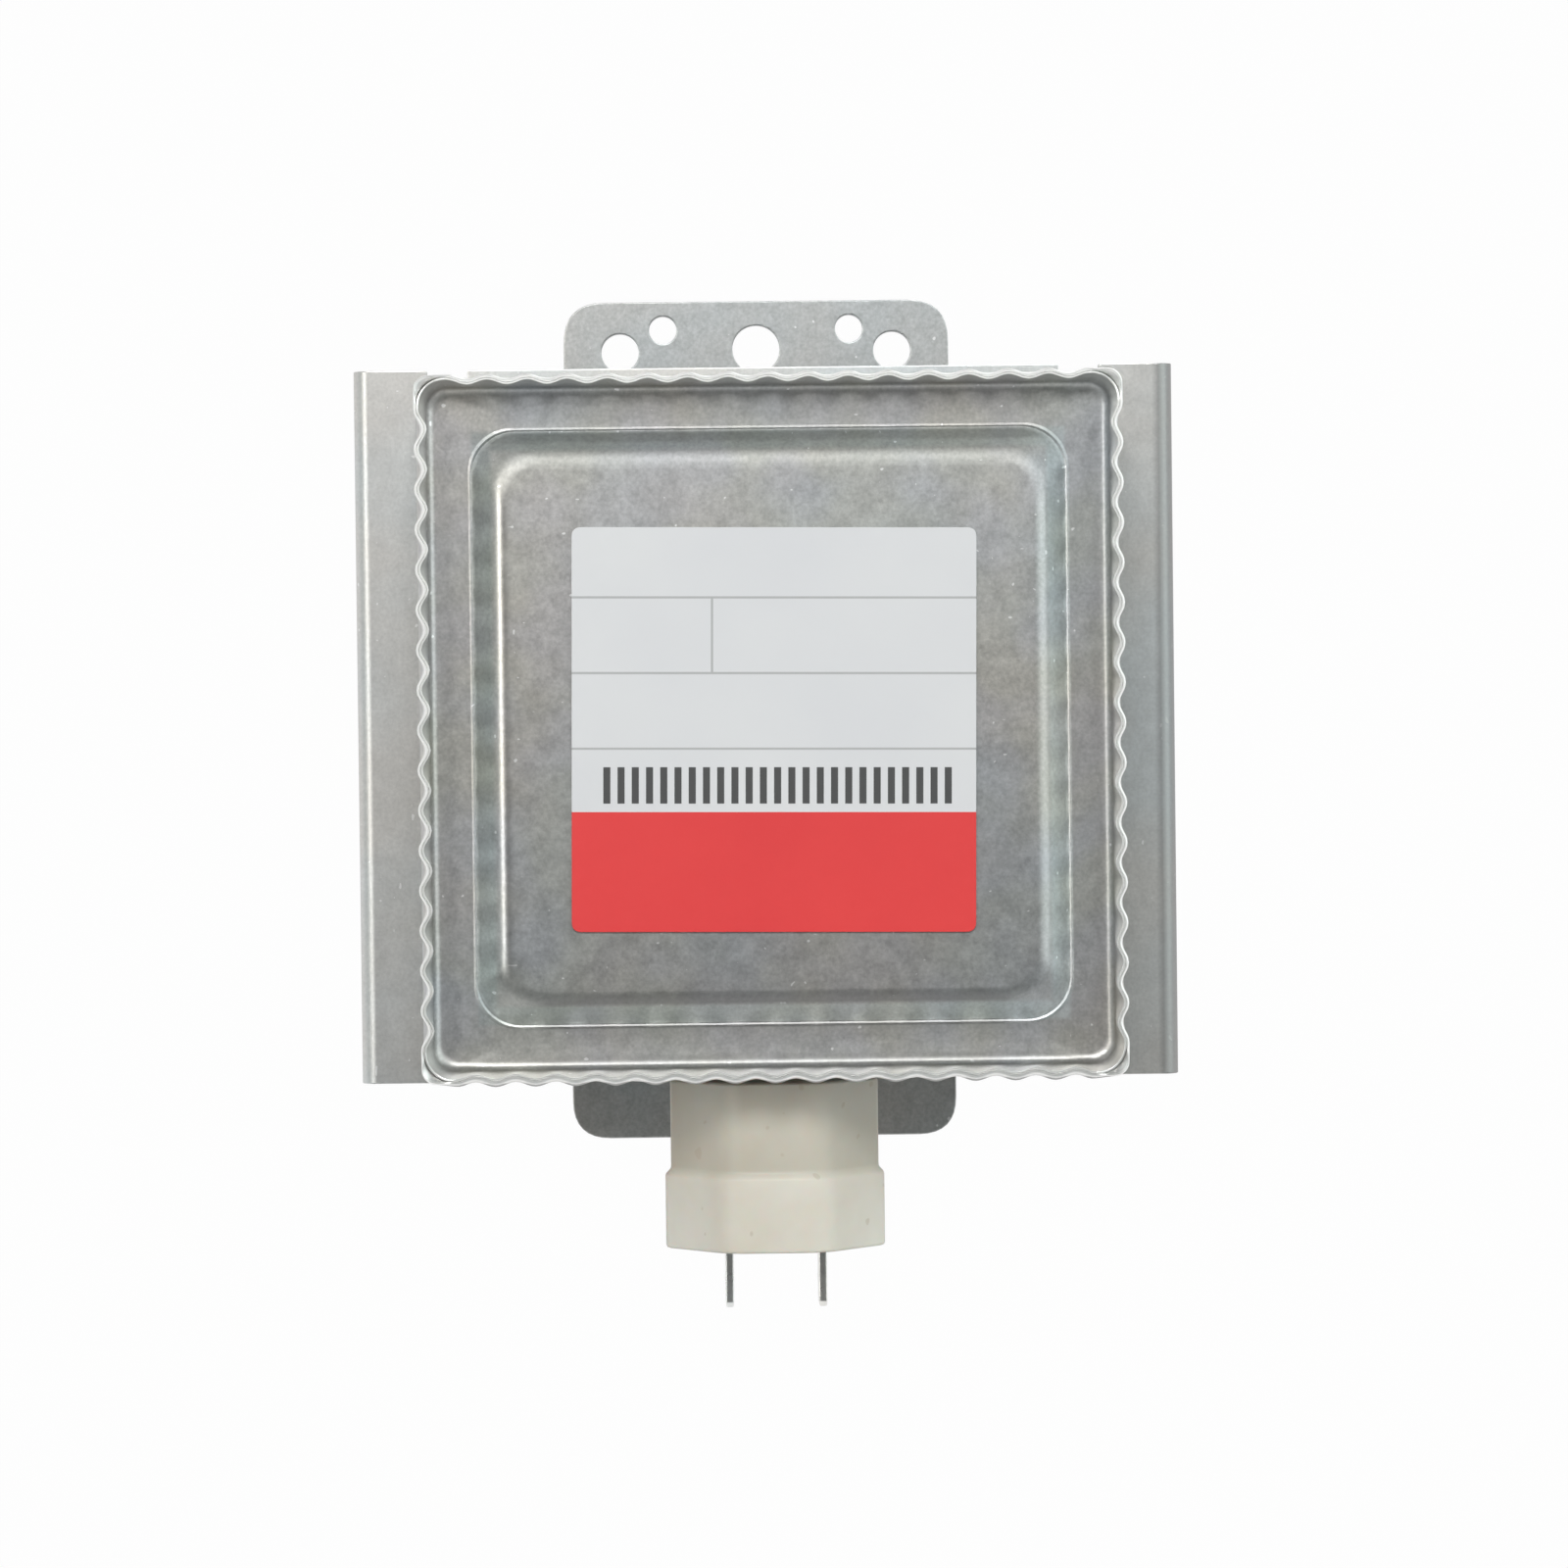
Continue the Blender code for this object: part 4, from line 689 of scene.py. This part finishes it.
def yoke_frame():
    """One sheet bent to a U, with four tongues at its ends and two notches in its top edge."""
    wall = HALF_WIDTH - SHEET / 2
    path = fillet([(-wall, YOKE_END), (-wall, YOKE_FRONT), (wall, YOKE_FRONT), (wall, YOKE_END)], 1.1, 10)
    end = sum((b - a).length for a, b in zip(path, path[1:])) / 2
    tongue = end + TONGUE_REACH
    low, up = TONGUE
    right = [(end, -HALF_HEIGHT), (end, -up), (tongue, -up, 0.3), (tongue, -low, 0.3), (end, -low)]
    right += [(end, low), (tongue, low, 0.3), (tongue, up, 0.3), (end, up), (end, HALF_HEIGHT)]
    near, far, floor = YOKE_NOTCH
    top = [(far, HALF_HEIGHT, 0.3), (far, floor, 0.5), (near, floor, 0.5), (near, HALF_HEIGHT, 0.3)]
    outline = right + top + [(-x, z, *rest) for x, z, *rest in reversed(top)]
    outline += [(-x, z, *rest) for x, z, *rest in reversed(right)]
    holes = [circle(TUBE_HOLE, steps=72)]
    holes += [circle(RIVET_HOLE, (side * BOX_RIVET, 0), 24) for _, side in SIDES]
    bm = bmesh.new()
    add_sheet(bm, eased(outline, 0.4, 4), holes, SHEET, 0.12)
    reach = Vector((0, TONGUE_REACH))
    bend(bm, [path[0] + reach] + path[1:-1] + [path[-1] + reach])
    finish_piece("yoke", bm, "yoke_zinc", "yoke_frame")


# Filter box and lid


def squared(half, radius, depth, y, ripple=0.0, dish=0.0, drop=0.0, bead=0.0):
    """A rounded square ring at y: sides pressed in by waves, rippled and dished, corners set back."""
    straight = half - radius
    reach = min(REACH, straight)
    ring = []
    shares = zip(WAVE_SHARES, RIPPLE_SHARES, DISH_SHARES, BEAD_SHARES)
    for turn, (press, share, sink, swell) in enumerate(shares):
        side = []
        for step in range(SIDE_STEPS + 1):
            along = reach * (2 * step / SIDE_STEPS - 1)
            wave = (1 - math.cos(math.tau * (along + REACH) / PITCH)) / 2
            fade = smooth((straight - abs(along)) / 3.0)
            lift = (ripple * share * (wave - 0.5) + bead * swell) * fade
            side.append((half - depth * press * wave + lift, along, y + dish * sink * fade))
        for step, (across, up) in enumerate(arc((straight, straight), radius, 0, 1, CORNER_STEPS)):
            side.append((across, up, y + drop * math.sin(math.pi * step / CORNER_STEPS)))
        for _ in range(turn):
            side = [(-up, across, level) for across, up, level in side]
        ring += [(across, level, up) for across, up, level in side]
    return ring


def smooth(value):
    value = min(1.0, max(0.0, value))
    return value * value * (3 - 2 * value)


def wave_depth(y, reach):
    """The waves are deepest at the cut edges and fade out along the wall."""
    return DEPTH * (1 - smooth((y - MOUTH) / reach))


def at(rule, *place):
    """What a rule gives at a place, or the rule itself where it is a plain number."""
    return rule(*place) if callable(rule) else rule


def profile_rings(path, radius, depth, ripple=0.0, dish=0.0, drop=0.0, bead=0.0):
    """A ring at each (half width, y) of a path; each size is a number or a function."""
    rings = []
    for half, y in path:
        lifts = (at(ripple, half), at(dish, half), at(drop, y), at(bead, y))
        rings.append(squared(half, at(radius, half), depth(half, y), y, *lifts))
    return rings


def blend_along(stops):
    """A function that goes straight between (place, value) stops."""

    def found(place):
        for (low, first), (high, second) in zip(stops, stops[1:]):
            if place <= high:
                share = max(0.0, (place - low) / (high - low))
                return first + (second - first) * share
        return stops[-1][1]

    return found


def filter_box_lid():
    """Crimped skirt, soft foot, flat band and a relief whose slope steepens toward its foot."""
    skirt_starts = 37.8
    corner = blend_along(
        [(0, 3.0), (26.0, 3.4), (30.0, 4.2), (33.7, 5.0), (37.5, 2.2), (38.7, 2.6), (39.4, 3.1)]
    )

    def depth(half, y):
        return wave_depth(y, 3.4) if half > skirt_starts else 0.0

    def ripple(half):
        inner, outer = 31.9, 33.8
        return 0.1 * math.sin(math.pi * (half - inner) / (outer - inner)) if inner < half < outer else 0.0

    def dish(half):
        reach = max(0.0, min(half, 37.2) - 34.3)
        return -0.011 * reach**2 * (1 - smooth(half - 37.5))

    def drop(y):
        return 0.3 * smooth((-87.2 - y) / 0.5)

    foot = [(39.2, -87.9), (38.32, BAND, 1.1), (34.6, BAND)]
    band = [Vector((half, BAND)) for half in (37.1, 36.8, 36.4, 36.0, 35.5, 35.0)]
    slope = [(34.6, BAND), (33.88, BAND, 0.06), (33.68, BAND - 0.09, 0.06), (33.47, BAND, 0.06)]
    slope += [(33.2, BAND - 0.18, 0.5), (30.5, PANEL, 2.6), (28.0, PANEL)]
    inner = fillet(foot, 1.0, 8)[:-1] + band + fillet(slope, 1.0, 8) + [Vector((27.5, PANEL))]
    edge = [(39.46, -87.84), (39.44, -87.95), (39.4, MOUTH), (39.25, MOUTH), (39.21, -87.95)]
    outer = [(27.5, -85.85), (30.3, -85.85), (33.2, -83.5), (38.2, -83.5), (38.65, -83.7), (38.85, -84.2)]
    outer += [(38.87, -84.8), (38.98, -85.5), (39.15, -86.5), (39.3, -87.3)]
    path = outer + edge + [tuple(point) for point in inner]
    bm = bmesh.new()
    add_rings(bm, profile_rings(path, corner, depth, ripple, dish, drop))
    finish_piece("lid", bm, "zinc", "filter_box_lid", angle=50)


def filter_box():
    """A drawn can, drawn in a little and pressed in waves at its mouth."""
    near = 39.78
    mouth = MOUTH + 0.02

    def depth(half, y):
        return wave_depth(y, 8.0)

    def settle(y):
        return 0.6 * smooth((-85.6 - y) / 2.0)

    levels = ((-87.6, 0.31), (-87.0, 0.26), (-86.3, 0.21), (-85.6, 0.2), (-85.0, 0.2))
    levels += ((-84.2, 0.24), (-83.2, 0.3))
    outer = [(near, y) for y, _ in levels]
    outer += [(39.7, -82.0), (39.75, -79.0), (39.95, -75.0), (40.3, -70.0), (BOX_HALF, -66.0)]
    outer += [tuple(p) for p in fillet([(BOX_HALF, -60.0), (BOX_HALF, -54.7), (36.0, -54.7)], 1.5, 8)]
    close = [(near - wall, y) for y, wall in levels]
    deep = [tuple(p) for p in fillet([(39.9, -66.0), (39.9, -55.2), (36.0, -55.2)], 1.0, 5)]
    deep = [(39.5, -81.0), (39.7, -75.0)] + deep
    inner = [(39.48, mouth + 0.04), (39.51, mouth)]
    edge = [(39.66, mouth), (39.73, mouth + 0.07), (near, mouth + 0.23)]
    swell = blend_along(
        [(mouth, 0.0), (-87.91, 0.3), (-87.75, 0.7), (-87.45, 1.0), (-86.3, 0.95), (-82.0, 0.0)]
    )
    rings = profile_rings(deep[::-1], 1.5, depth)
    rings += profile_rings(close[::-1], 3.1, depth, drop=settle)
    rings += profile_rings(inner, 3.0, depth, drop=0.6)
    rings += profile_rings(edge, 1.6, depth, bead=swell)
    rings += profile_rings(outer, 1.8, depth, bead=swell)
    bm = bmesh.new()
    add_rings(bm, rings)
    box = finish_piece("filter_can", bm, "zinc", "filter_box", angle=40)

    def cutters(bm):
        add_prism(bm, housing_plan(18.6, 11.1), *BOX_FLOOR)
        for _, side in SIDES:
            add_prism(bm, circle(RIVET_HOLE, (side * GROUND_RIVET, CONNECTOR_Y), 24), *BOX_FLOOR)
            add_along_y(bm, circle(RIVET_HOLE, (side * BOX_RIVET, 0), 24), *BOX_BACK)
        add_along_y(bm, circle(11.5, steps=72), *BOX_BACK)

    cut(box, cutters)


def add_prism(bm, outline, low, high):
    add_rings(bm, [[(x, y, level) for x, y in outline] for level in (low, high)])


def add_along_y(bm, outline, low, high):
    add_rings(bm, [[(x, level, z) for x, z in outline] for level in (low, high)])


def rating_label():
    bm = bmesh.new()
    half = LABEL_HALF
    corners = [(half, -half), (half, half), (-half, half), (-half, -half)]
    add_sheet(bm, eased(corners, 1.1, 8), [], 0.15, 0.03)
    bm.transform(Matrix.Rotation(LABEL_TURN, 4, "Y"))
    finish_piece("label", bm, "label", "rating_label", LABEL_PLACE)


# Connector


def housing_plan(width, depth):
    """The housing seen from below: a flat front and back, slanted flanks with soft corners."""
    half, deep = width / 2, depth / 2
    flat = 5.6 * width / CAP_WIDTH
    flank = 1.1
    corners = [(half, -flank, 1.4), (half, flank, 1.4), (flat, deep, 5.0), (-flat, deep, 5.0)]
    corners += [(-half, flank, 1.4), (-half, -flank, 1.4), (-flat, -deep, 5.0), (flat, -deep, 5.0)]
    return [(x, y + CONNECTOR_Y) for x, y in eased(corners, 1.0, 8)]


def connector_housing():
    """Neck in the box's wall, stem, a slanted step and the wider cap, all with eased edges."""
    sections = (
        (CAP_WIDTH - 0.7, CAP_DEPTH - 0.7, -60.0),
        (CAP_WIDTH - 0.24, CAP_DEPTH - 0.24, -59.9),
        (CAP_WIDTH, CAP_DEPTH, -59.65),
        (CAP_WIDTH, CAP_DEPTH, -51.75),
        (25.0, 18.8, -51.5),
        (24.2, 18.05, -51.08),
        (23.94, 17.82, -50.85),
        (STEM_WIDTH, STEM_DEPTH, -50.5),
        (STEM_WIDTH, STEM_DEPTH, -41.0),
        (23.5, 17.4, -40.7),
        (18.0, 10.5, -40.7),
        (18.0, 10.5, -38.8),
    )
    rings = [[(x, y, level) for x, y in housing_plan(width, depth)] for width, depth, level in sections]
    bm = bmesh.new()
    add_rings(bm, rings)
    housing = finish_piece("housing", bm, "cream_plastic", "connector_housing", angle=40)

    def cutters(bm):
        half, deep = 0.8, BLADE_HALF + 0.3
        for _, side in SIDES:
            slot = [(half, -deep), (half, deep), (-half, deep), (-half, -deep)]
            slot = [(side * BLADE_OFFSET + x, CONNECTOR_Y + y) for x, y in slot]
            add_prism(bm, slot, -61.0, -38.0)

    cut(housing, cutters)


def terminal_blades():
    """Tinned blades with eased tips and the hole that a plug's catch finds."""
    half, tip, top = BLADE_HALF, BLADE_TIP, BLADE_TOP
    for name, side in SIDES:
        corners = [(half, tip + 0.6, 0.3), (half, top, 0.2), (-half, top, 0.2), (-half, tip + 0.6, 0.3)]
        corners += [(-half + 0.7, tip, 0.25), (half - 0.7, tip, 0.25)]
        bm = bmesh.new()
        add_sheet(bm, eased(corners, 0.3, 5), [circle(0.8, (0, -63.4), 28)], 1.0, 0.2)
        for vertex in bm.verts:
            vertex.co.y *= 1 - 0.1 * smooth((tip + 2.2 - vertex.co.z) / 2.2)
        bm.transform(Matrix.Rotation(math.pi / 2, 4, "Z"))
        place = (side * BLADE_OFFSET, CONNECTOR_Y, 0)
        finish_piece(f"blade_{name}", bm, "bright_zinc", f"terminal_blade_{name}", place)


# Magnets, anode, fins and antenna


def turned_piece(name, profile, look, replaced, place=(0, 0, 0), steps=96, axis="Y", angle=32):
    bm = bmesh.new()
    add_turned(bm, profile, steps, axis)
    return finish_piece(name, bm, look, replaced, place, angle)


def magnets():
    profile = [(10.5, -5.95), (10.8, -6.25), (27.0, -6.25), (27.35, -6.1), (27.5, -5.75)]
    profile += [(radius, -along) for radius, along in reversed(profile)]
    for name, y, node_name in zip(("front", "back"), MAGNET_PLACES, ("antenna_side", "stem_side")):
        turned_piece(f"magnet_{name}", profile, "ferrite", f"magnet_{node_name}", (0, y, 0), 120)


def anode():
    profile = [(17.5, -9.8), (18.6, -9.8), (18.6, -11.7), (19.8, -11.7), (20.0, -11.5)]
    profile += [(radius, -along) for radius, along in reversed(profile)]
    turned_piece("anode", profile, "copper", "anode_cylinder", (0, ANODE_MIDDLE, 0))


def cooling_fins():
    """Rolled sheets with a plunged collar on the anode, stepped flanks and turned lips."""
    lip, lip_height, step = 46.1, 3.2, (33.0, 30.0)
    bore, wall, root, face = 20.3, 20.9, 21.45, FIN_SHEET / 2
    inner, outer = 1.15, 0.55
    turn = face - inner
    collar = [(root, face)]
    collar += [(bore + inner * (1 - math.sin(a)), turn + inner * math.cos(a)) for a in (0.3, 0.7, 1.1, 1.4)]
    collar += [(bore, turn), (bore, -3.25), (bore + 0.1, -3.3)]
    collar += [(wall - 0.1, -3.3), (wall, -3.2), (wall, turn)]
    collar += [(wall + outer * (1 - math.sin(a)), turn + outer * math.cos(a)) for a in (1.2, 0.8, 0.4)]
    collar += [(root, -face)]
    for index in range(FINS):
        hub = FIN_START - FIN_PITCH * index
        side = ANODE_MIDDLE + FIN_SIDE_PITCH * ((FINS - 1) / 2 - index) - hub
        half_path = [(lip, side + lip_height), (lip, side), (step[0], side), (step[1], 0.0)]
        corners = [(-x, y) for x, y in half_path] + [(x, y) for x, y in reversed(half_path)]
        path = fillet(corners, 1.0, 5)
        end = sum((b - a).length for a, b in zip(path, path[1:])) / 2
        high = FIN_HALF_HEIGHT
        bm = bmesh.new()
        outline = eased([(end, -high), (end, high), (-end, high), (-end, -high)], 0.8, 4)
        add_sheet(bm, outline, [circle(21.4, steps=96)], FIN_SHEET, 0.08)
        bend(bm, path)
        add_turned(bm, collar, 96)
        finish_piece(f"fin_{index + 1}", bm, "aluminium", f"cooling_fin_{index + 1}", (0, hub, 0), angle=40)


def antenna():
    profile = [(6.5, 3.3), (9.5, 3.3), (9.7, 3.5), (9.7, 12.1), (9.5, 12.3), (6.5, 12.3)]
    turned_piece("antenna_sleeve", profile, "ceramic", "antenna_ceramic")
    low, high, radius, bore = 13.4, 28.4, 7.8, 7.2
    rounded = (radius - 1.2, high - 1.2)
    profile = [(bore, low), (bore + 0.15, low), (radius - 0.1, low), (radius, low + 0.12)]
    profile += arc(rounded, 1.2, 0, 1, 8) + [(0, high), (0, high - 0.6)] + arc(rounded, 0.6, 1, 0, 5)
    turned_piece("antenna_dome", profile, "bright_zinc", "antenna_cap")


def gasket():
    profile = [(11.0, 0.3), (15.4, 0.3), (15.5, 0.4), (15.5, 0.6), (15.4, 0.7), (11.8, 0.7)]
    profile += [(11.4, 1.0), (11.4, 4.1), (11.3, 4.2), (11.0, 4.2)]
    turned_piece("gasket_sleeve", profile, "bright_zinc", "gasket_holder")
    middle, half_width, half_height, steps = (14.85, 3.2), 3.15, 2.2, 32

    def squarish(value):
        return math.copysign(abs(value) ** 0.6, value)

    profile = []
    for step in range(steps):
        angle = math.tau * step / steps
        across = squarish(math.cos(angle)) * half_width
        along = squarish(math.sin(angle)) * half_height
        profile.append((middle[0] + across, middle[1] + along))
    turned_piece("gasket_ring", profile, "wire_mesh", "rf_gasket", steps=160)


# A rivet's head as (radius, share of its height), and its upset end as (radius, height)
ROUND_HEAD = ((0, 1.0), (1.2, 0.944), (2.0, 0.611), (2.35, 0.222), (2.4, 0.0), (1.6, 0.0))
UPSET_END = ((1.6, 0.3), (2.4, 0.3), (2.3, 0.7), (1.6, 1.1), (0.7, 1.2), (0, 1.15))


def rivets():
    """Two rivets through the box's back and two, with flat heads, through its lower wall."""
    for name, side in SIDES:
        for node_name, low, high, place, axis, rise, tall in (
            (f"box_rivet_{name}", -55.2, -52.8, (side * BOX_RIVET, 0, 0), "Y", 0.3, 0.9),
            (f"ground_rivet_{name}", -40.4, -38.8, (side * GROUND_RIVET, CONNECTOR_Y, 0), "Z", 0.05, 0.38),
        ):
            head = [(radius, low - rise - tall * share) for radius, share in ROUND_HEAD]
            tail = [(radius, high + height) for radius, height in UPSET_END]
            turned_piece(f"{node_name}_head", head + tail, "zinc", node_name, place, 32, axis)


def dress_hidden_nodes():
    """Inner nodes keep their shape and get the finish of their material slot."""
    slots = {row["node"]: row["material_slot"] for row in frame["record"]["subparts"]}
    for name, made in NODES.items():
        look = LOOKS[slots[name]]
        made.data.materials.clear()
        made.data.materials.append(look)


# Camera, floor and light


def camera():
    data = bpy.data.cameras.new("camera")
    data.sensor_width = SENSOR
    data.lens = SENSOR * FOCAL_PIXELS / PICTURE_PIXELS
    data.clip_start = 0.02
    made = bpy.data.objects.new("camera", data)
    bpy.context.scene.collection.objects.link(made)
    pitch, yaw, roll = (math.radians(angle) for angle in CAMERA_ANGLES)
    turn = Matrix.Rotation(yaw, 3, "Z") @ Matrix.Rotation(pitch, 3, "X") @ Matrix.Rotation(roll, 3, "Y")
    look = Matrix((turn.col[0], turn.col[2], -turn.col[1])).transposed()
    made.matrix_world = Matrix.Translation([value * MM for value in CAMERA_PLACE]) @ look.to_4x4()
    bpy.context.scene.camera = made


def area_light(name, place, target, size, power, size_y=None, colour=(1, 1, 1)):
    data = bpy.data.lights.new(name, "AREA")
    data.energy = power
    data.color = colour
    data.shape = "RECTANGLE"
    data.size = size
    data.size_y = size_y or size
    made = bpy.data.objects.new(name, data)
    made.location = place
    made.rotation_euler = (Vector(target) - Vector(place)).to_track_quat("-Z", "Y").to_euler()
    bpy.context.scene.collection.objects.link(made)


def stage():
    """A wide pale floor that turns up into a backdrop; to the camera and in metal it is white."""
    level, half, foot, turn = -0.5, 3.0, 1.2, 0.6
    profile = [(-half, level), (foot, level)]
    for angle in (0.2, 0.5, 0.8, 1.1, 1.4):
        profile.append((foot + turn * math.sin(angle), level + turn - turn * math.cos(angle)))
    profile += [(foot + turn, level + turn + 0.07), (foot + turn, half)]
    bm = bmesh.new()
    rows = [[bm.verts.new((x, y, z)) for y, z in profile] for x in (-half, half)]
    for index in range(len(profile) - 1):
        bm.faces.new((rows[0][index], rows[1][index], rows[1][index + 1], rows[0][index + 1]))
    mesh = bpy.data.meshes.new("floor")
    bm.to_mesh(mesh)
    bm.free()
    mesh.shade_smooth()
    floor = bpy.data.objects.new("floor", mesh)
    bpy.context.scene.collection.objects.link(floor)
    made, tree, shader, where = new_material("pale_floor")
    along = node(tree, "SeparateXYZ", {0: where}).outputs[1]
    uneven = vary(tree, noise(tree, where, 3.0), 0.0, 0.04)
    depth = calc(tree, "ADD", spread(tree, along, -1.2, 0.0, 0.0, 0.96), uneven)
    plug(tree, shader, colour=mix(tree, depth, shade(0.25), shade(0.6)), rough=0.8)
    glow = node(tree, "Emission", {"Color": shade(1.0), "Strength": 1.0})
    path = node(tree, "LightPath").outputs
    mirrored = calc(tree, "MAXIMUM", path["Is Glossy Ray"], path["Is Transmission Ray"])
    mirrored = product(tree, mirrored, spread(tree, along, -0.5, -0.33, 0.08, 1.0))
    share = product(tree, calc(tree, "MAXIMUM", path["Is Camera Ray"], mirrored), 0.98)
    blend = node(tree, "MixShader", {0: share, 1: shader.outputs[0], 2: glow.outputs[0]})
    output = [n for n in tree.nodes if n.type == "OUTPUT_MATERIAL"][0]
    tree.links.new(blend.outputs[0], output.inputs["Surface"])
    mesh.materials.append(made)


def world():
    """A soft surround: pale sides and floor, little from above; white to the camera and behind the object."""
    made = bpy.data.worlds.new("studio")
    bpy.context.scene.world = made
    made.use_nodes = True
    tree = made.node_tree
    tree.nodes.clear()
    where = node(tree, "TexCoord").outputs["Generated"]
    across, along, up = node(tree, "SeparateXYZ", {0: where}).outputs
    tone = 0.09
    for value, *stops in (
        (up, -0.9, -0.3, 0.7, 0.0),
        (up, 0.3, 0.9, 0.0, 0.02),
        (across, 0.3, 0.9, 0.0, 0.9),
        (across, -0.9, -0.3, 0.6, 0.0),
    ):
        tone = calc(tree, "ADD", spread(tree, value, *stops), tone)
    warm = product(tree, tone, spread(tree, along, -0.9, -0.4, 1.0, 0.91))
    behind = spread(tree, along, -0.25, 0.15, 0.0, 1.0)
    grey = node(tree, "CombineColor", {0: warm, 1: tone, 2: tone}).outputs[0]
    path = node(tree, "LightPath").outputs
    seen = calc(tree, "MAXIMUM", path["Is Glossy Ray"], path["Is Transmission Ray"])
    white = calc(tree, "MAXIMUM", path["Is Camera Ray"], product(tree, seen, behind))
    colour = mix(tree, white, grey, shade(1.0))
    background = node(tree, "Background", {"Color": colour, "Strength": 1.0})
    output = node(tree, "OutputWorld")
    tree.links.new(background.outputs[0], output.inputs["Surface"])


def lights():
    """A small key above the camera, a narrow strip at the left, a large soft one at the right, one behind."""
    aim = (0, -0.06, 0)
    area_light("key", (-0.05, -0.96, 0.54), aim, 0.3, 5.0)
    area_light("left", (-0.74, -1.0, 0.15), aim, 0.12, 2.95, 0.5, (1.0, 0.985, 0.95))
    area_light("right", (0.95, -0.85, 0.3), aim, 1.1, 4.8, 1.0, (0.93, 1.0, 0.98))
    area_light("back", (0.3, 1.1, 0.9), (0, 0, 0), 0.8, 4.0)


def main():
    scene = bpy.context.scene
    scene.view_settings.view_transform = "Standard"
    camera()
    stage()
    world()
    lights()
    dress_hidden_nodes()
    mounting_plate()
    yoke_frame()
    filter_box()
    filter_box_lid()
    rating_label()
    connector_housing()
    terminal_blades()
    magnets()
    anode()
    cooling_fins()
    antenna()
    gasket()
    rivets()


main()
